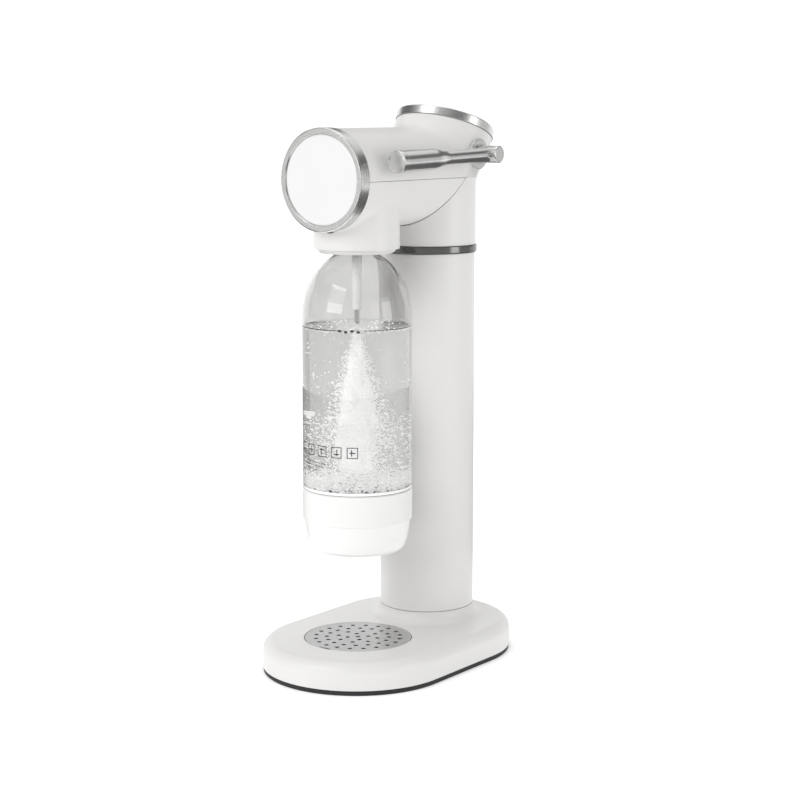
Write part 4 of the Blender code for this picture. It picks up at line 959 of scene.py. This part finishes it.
def bubble_cloud(name, spots, finish, detail=1):
    """Small round bubbles at (place, radius) spots, in one mesh."""
    seed_mesh = bmesh.new()
    bmesh.ops.create_icosphere(seed_mesh, subdivisions=detail, radius=1.0)
    shape = np.array([v.co for v in seed_mesh.verts])
    faces = np.array([[v.index for v in f.verts] for f in seed_mesh.faces])
    seed_mesh.free()
    places = np.array([s[0] for s in spots])
    sizes = np.array([s[1] for s in spots])
    points = (places[:, None, :] + sizes[:, None, None] * shape[None]).reshape(-1, 3)
    index = (faces[None] + len(shape) * np.arange(len(spots))[:, None, None]).reshape(-1, 3)
    mesh = bpy.data.meshes.new(name)
    mesh.from_pydata(points.tolist(), [], index.tolist())
    obj = bpy.data.objects.new(name, mesh)
    bpy.context.scene.collection.objects.link(obj)
    finish_piece(obj, finish, "bottle", sharp=180)
    return obj


def around(draw, reach, z):
    a = draw.uniform(0, 2 * math.pi)
    return Vector((BOTTLE_AXIS.x + reach * math.cos(a), BOTTLE_AXIS.y + reach * math.sin(a), z))


def plume_width(t, turn):
    """Half width of the jet of gas at a share of its length, uneven round it and down it."""
    opening = 0.9 * MM + 14.5 * MM * min(1.0, t / 0.66) ** 0.95
    closing = 1 - 0.5 * max(0.0, (t - 0.66) / 0.34) ** 2
    lobes = 0.13 * math.sin(3 * turn + 11 * t) + 0.1 * math.sin(5 * turn - 23 * t)
    return opening * closing * (1 + lobes + 0.07 * math.sin(41 * t))


def make_plume(tip, length):
    """The dense white heart of the jet."""
    loops = []
    for k in range(61):
        t = k / 60
        z = tip - 1.5 * MM - length * t
        loop = []
        for i in range(72):
            turn = math.tau * i / 72
            grain = 1 + 0.08 * noise_value(Vector((3 * math.cos(turn), 3 * math.sin(turn), z * 420)))
            reach = 0.72 * plume_width(t, turn) * grain
            loop.append(BOTTLE_AXIS + Vector((reach * math.cos(turn), reach * math.sin(turn), z)))
        loops.append(loop)
    plume = lofted("gas_plume", loops)
    # The froth finish gives the plume a painted glow.
    finish_piece(plume, "froth", "bottle", sharp=180)


def make_bubbles(settings):
    # Every bubble here glows with painted light from its froth or bubble finish.
    draw = random.Random(settings.seed)
    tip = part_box("nozzle_tip")[0].z
    floor = CUP_HIGH.z + 1.5 * MM
    height = settings.water_top - floor
    loose = []
    while len(loose) < settings.bubbles:
        low_down = draw.random() < 0.86
        z = floor + height * (0.45 * draw.random() ** 0.8 if low_down else draw.random() ** 1.4)
        limit = inside_width(z) - 1.6 * MM
        hugging = draw.random() < 0.62
        reach = limit - abs(draw.gauss(0, 1.2 * MM)) if hugging else limit * math.sqrt(draw.random())
        size = min(1.4 * MM, 0.24 * MM + draw.expovariate(1 / (0.22 * MM)))
        loose.append((around(draw, min(limit, max(0, reach)), z), size))
    bubble_cloud("loose_bubbles", loose, "bubble", 2)
    jet = []
    length = tip - floor - 12 * MM
    for _ in range(settings.jet_bubbles):
        t = draw.random() ** 0.62
        reach = plume_width(t, draw.uniform(0, math.tau)) * min(1.9, abs(draw.gauss(0.86, 0.34)))
        jet.append((around(draw, reach, tip - 1.5 * MM - length * t), draw.uniform(0.25, 0.75) * MM))
    bubble_cloud("jet_bubbles", jet, "froth", 1)
    make_plume(tip, length)
    bed = []
    for _ in range(settings.bed_bubbles):
        reach = (BOTTLE_RADIUS - 2.9 * MM) * draw.random() ** 0.42
        depth = abs(draw.gauss(0, 4.5 * MM))
        bed.append((around(draw, reach, floor + depth), draw.uniform(0.35, 1.0) * MM))
    bubble_cloud("bed_bubbles", bed, "froth", 1)
    surface = []
    for _ in range(170):
        reach = (BOTTLE_RADIUS - 3.2 * MM) * draw.random() ** 0.35
        surface.append((around(draw, reach, settings.water_top - draw.uniform(0.2, 1.2) * MM),
                        draw.uniform(0.4, 1.1) * MM))
    bubble_cloud("surface_bubbles", surface, "bubble", 2)


def wrapped(name, patches, lift=0.06 * MM):
    """Ink patches (degrees from the front, height, width, height of patch) wrapped round the bottle."""
    bm = bmesh.new()
    radius = BOTTLE_RADIUS + lift
    for turn, z, width, tall in patches:
        pieces = max(1, int(width / (1.5 * MM)))
        edge = []
        for i in range(pieces + 1):
            a = math.radians(turn) + (i / pieces - 0.5) * width / radius
            spot = BOTTLE_AXIS + Vector((math.sin(a) * radius, -math.cos(a) * radius, 0))
            edge.append([bm.verts.new(spot + Vector((0, 0, z + s * tall / 2))) for s in (-1, 1)])
        for (a0, a1), (b0, b1) in zip(edge, edge[1:]):
            bm.faces.new((a0, b0, b1, a1))
    return object_from(name, bm)


def frame_patches(turn, z, size, line):
    """A small square outline."""
    reach = math.degrees((size - line) / 2 / BOTTLE_RADIUS)
    return [(turn, z + (size - line) / 2, size, line), (turn, z - (size - line) / 2, size, line),
            (turn - reach, z, line, size), (turn + reach, z, line, size)]


def make_bottle_marks(settings):
    """A fill line with dashes, a row of plain icons and three fine lines slanting under them."""
    level = settings.water_top + 0.6 * MM
    line = 0.5 * MM
    patches = [(-34, level, math.radians(96) * BOTTLE_RADIUS, line)]
    for i in range(4):
        patches.append((20 + i * 6.4, level - (i % 2) * 0.8 * MM, 2.6 * MM, 1.7 * MM))
    for i in range(12):
        patches.append((47 + i * 4.6, level, 1.7 * MM, 0.55 * MM))
    size = 8.6 * MM
    z = 179.5 * MM
    for i in range(5):
        turn = -36 + i * 17.2
        patches += frame_patches(turn, z, size, 0.62 * MM)
        patches.append((turn, z + (i % 3 - 1) * 1.3 * MM, 4.6 * MM, 0.8 * MM))
        patches.append((turn + (i % 2) * 1.6 - 0.8, z, 0.8 * MM, 4.8 * MM))
    for i, width in enumerate((46, 37, 30)):
        steps = 12
        for k in range(steps):
            turn = -38 + width * (k + 0.5) / steps
            patches.append((turn, (171.5 - i * 2.5) * MM - 2.2 * MM * k / steps,
                            math.radians(width / steps) * BOTTLE_RADIUS * 0.7, 0.62 * MM))
    marks = wrapped("bottle_marks", patches)
    finish_piece(marks, "ink", "bottle")


class CARBONATOR_OT_bottle(bpy.types.Operator):
    """Make the clear bottle, its base cup, the water, the bubbles and the printed marks"""

    bl_idname = "carbonator.bottle"
    bl_label = "Bottle"

    def execute(self, context):
        settings = context.scene.carbonator_bottle
        make_bottle_body()
        make_bottle_cup()
        make_glowing_cup_lip()
        make_water(settings.water_top)
        make_bubbles(settings)
        make_bottle_marks(settings)
        return {"FINISHED"}


class CARBONATOR_OT_inner_works(bpy.types.Operator):
    """Give each piece kept from the frame its finish"""

    bl_idname = "carbonator.inner_works"
    bl_label = "Inner works"

    def execute(self, context):
        for name, node in frame["nodes"].items():
            finish = FINISHES.get(SLOTS[name])
            if finish is None:
                raise ValueError(f"{name} has no finish for slot {SLOTS[name]}")
            for slot in node.material_slots:
                slot.material = finish
        return {"FINISHED"}


# ---------------------------------------------------------------- stage
def stage_material(base, glow):
    made, tree, shader, place = node_tree("studio_paper")
    fibre = noise(tree, stretched(tree, place), 300, 3)
    tinted(tree, shader, fibre, shade(base, 0.998), shade(base, 1.002))
    shader.inputs["Roughness"].default_value = 0.9
    shader.inputs["Emission Color"].default_value = (1, 1, 1, 1)
    shader.inputs["Emission Strength"].default_value = glow
    return made


def area_light(name, place, target, size, power):
    light = bpy.data.lights.new(name, "AREA")
    light.shape = "RECTANGLE"
    light.size, light.size_y = size
    light.energy = power
    lamp = bpy.data.objects.new(name, light)
    bpy.context.scene.collection.objects.link(lamp)
    lamp.location = place
    lamp.rotation_euler = (Vector(target) - Vector(place)).to_track_quat("-Z", "Y").to_euler()


def dark_card(name, outline):
    """A black band round the object that only polished surfaces see, as flags are used with soft boxes."""
    bm = bmesh.new()
    turns = [math.tau * i / 96 for i in range(96)]
    rings = [[bm.verts.new((r * math.cos(a), r * math.sin(a), z)) for a in turns] for r, z in outline]
    for low, high in zip(rings, rings[1:]):
        for i, j in zip(range(96), [*range(1, 96), 0]):
            bm.faces.new((low[i], low[j], high[j], high[i]))
    card = object_from(name, bm)
    card.data.materials.append(cast("flag_cloth", (0.1, 0.1, 0.1), 0.9, 0.1 * MM))
    for rays in ("camera", "diffuse", "transmission", "volume_scatter", "shadow"):
        setattr(card, "visible_" + rays, False)


class CARBONATOR_OT_stage(bpy.types.Operator):
    """Set up the floor, the soft lights, the surroundings and the camera"""

    bl_idname = "carbonator.stage"
    bl_label = "Stage"

    def execute(self, context):
        scene = context.scene
        settings = scene.carbonator_stage
        reach, back, bend = 2.6, 1.5, 0.7
        turn = Matrix.Rotation(settings.camera_turn[2], 4, "Z")
        outline = [(-reach, -0.0001), (back, -0.0001)]
        for i in range(1, 13):
            a = math.pi / 2 * i / 12
            outline.append((back + bend * math.sin(a), bend * (1 - math.cos(a))))
        outline.append((back + bend, 3.2))
        bm = bmesh.new()
        rows = [[bm.verts.new(turn @ Vector((x, y, z))) for x in (-3.2, 3.2)] for y, z in outline]
        for (a0, a1), (b0, b1) in zip(rows, rows[1:]):
            bm.faces.new((a0, a1, b1, b0))
        floor = object_from("studio_floor", bm)
        floor.data.materials.append(stage_material(tuple(settings.floor), 0.3))
        floor.data.shade_smooth()

        world = bpy.data.worlds.new("studio")
        world.use_nodes = True
        background = world.node_tree.nodes["Background"]
        background.inputs["Color"].default_value = (1, 1, 1, 1)
        background.inputs["Strength"].default_value = 0.6
        scene.world = world
        area_light("key", (-0.4, -2.0, 1.15), (0, 0, 0.25), (1.4, 1.4), 20)
        area_light("fill", (2.0, 0.5, 0.6), (0, 0, 0.3), (0.8, 1.0), 7)
        area_light("top", (-0.2, 0.1, 2.0), (0, 0, 0.2), (1.2, 1.2), 6)
        dark_card("upper_flag", [(1.5, 0.75), (1.5, 1.35)])
        dark_card("floor_flag", [(0.34, 0.002), (1.5, 0.002)])

        camera = bpy.data.cameras.new("camera")
        camera.lens = settings.lens
        camera.sensor_width = 36
        camera.clip_start, camera.clip_end = 0.05, 20
        viewer = bpy.data.objects.new("camera", camera)
        scene.collection.objects.link(viewer)
        viewer.location = settings.camera_place
        viewer.rotation_euler = settings.camera_turn
        scene.camera = viewer
        scene.view_settings.view_transform = "Standard"
        return {"FINISHED"}


OPERATORS = (
    CARBONATOR_OT_finishes,
    CARBONATOR_OT_base,
    CARBONATOR_OT_drip_tray,
    CARBONATOR_OT_column,
    CARBONATOR_OT_head,
    CARBONATOR_OT_lever,
    CARBONATOR_OT_nozzle,
    CARBONATOR_OT_bottle,
    CARBONATOR_OT_inner_works,
    CARBONATOR_OT_stage,
)


class CARBONATOR_PT_pieces(bpy.types.Panel):
    """Lists the carbonator's pieces and their settings"""

    bl_idname = "CARBONATOR_PT_pieces"
    bl_label = "Soda Carbonator"
    bl_space_type = "VIEW_3D"
    bl_region_type = "UI"
    bl_category = "Carbonator"

    def draw(self, context):
        for operator in OPERATORS:
            self.layout.operator(operator.bl_idname)
        for name, group in SETTINGS.items():
            box = self.layout.box()
            for key in group.__annotations__:
                box.prop(getattr(context.scene, name), key)


CLASSES = (*SETTINGS.values(), *OPERATORS, CARBONATOR_PT_pieces)


def register():
    for cls in CLASSES:
        bpy.utils.register_class(cls)
    for name, group in SETTINGS.items():
        setattr(bpy.types.Scene, name, PointerProperty(type=group))


def unregister():
    for name in SETTINGS:
        delattr(bpy.types.Scene, name)
    for cls in reversed(CLASSES):
        bpy.utils.unregister_class(cls)


def main():
    register()
    bpy.ops.carbonator.finishes()
    bpy.ops.carbonator.inner_works()
    bpy.ops.carbonator.base()
    bpy.ops.carbonator.drip_tray()
    bpy.ops.carbonator.column()
    bpy.ops.carbonator.head()
    bpy.ops.carbonator.lever()
    bpy.ops.carbonator.nozzle()
    bpy.ops.carbonator.bottle()
    bpy.ops.carbonator.stage()


if __name__ == "__main__":
    main()
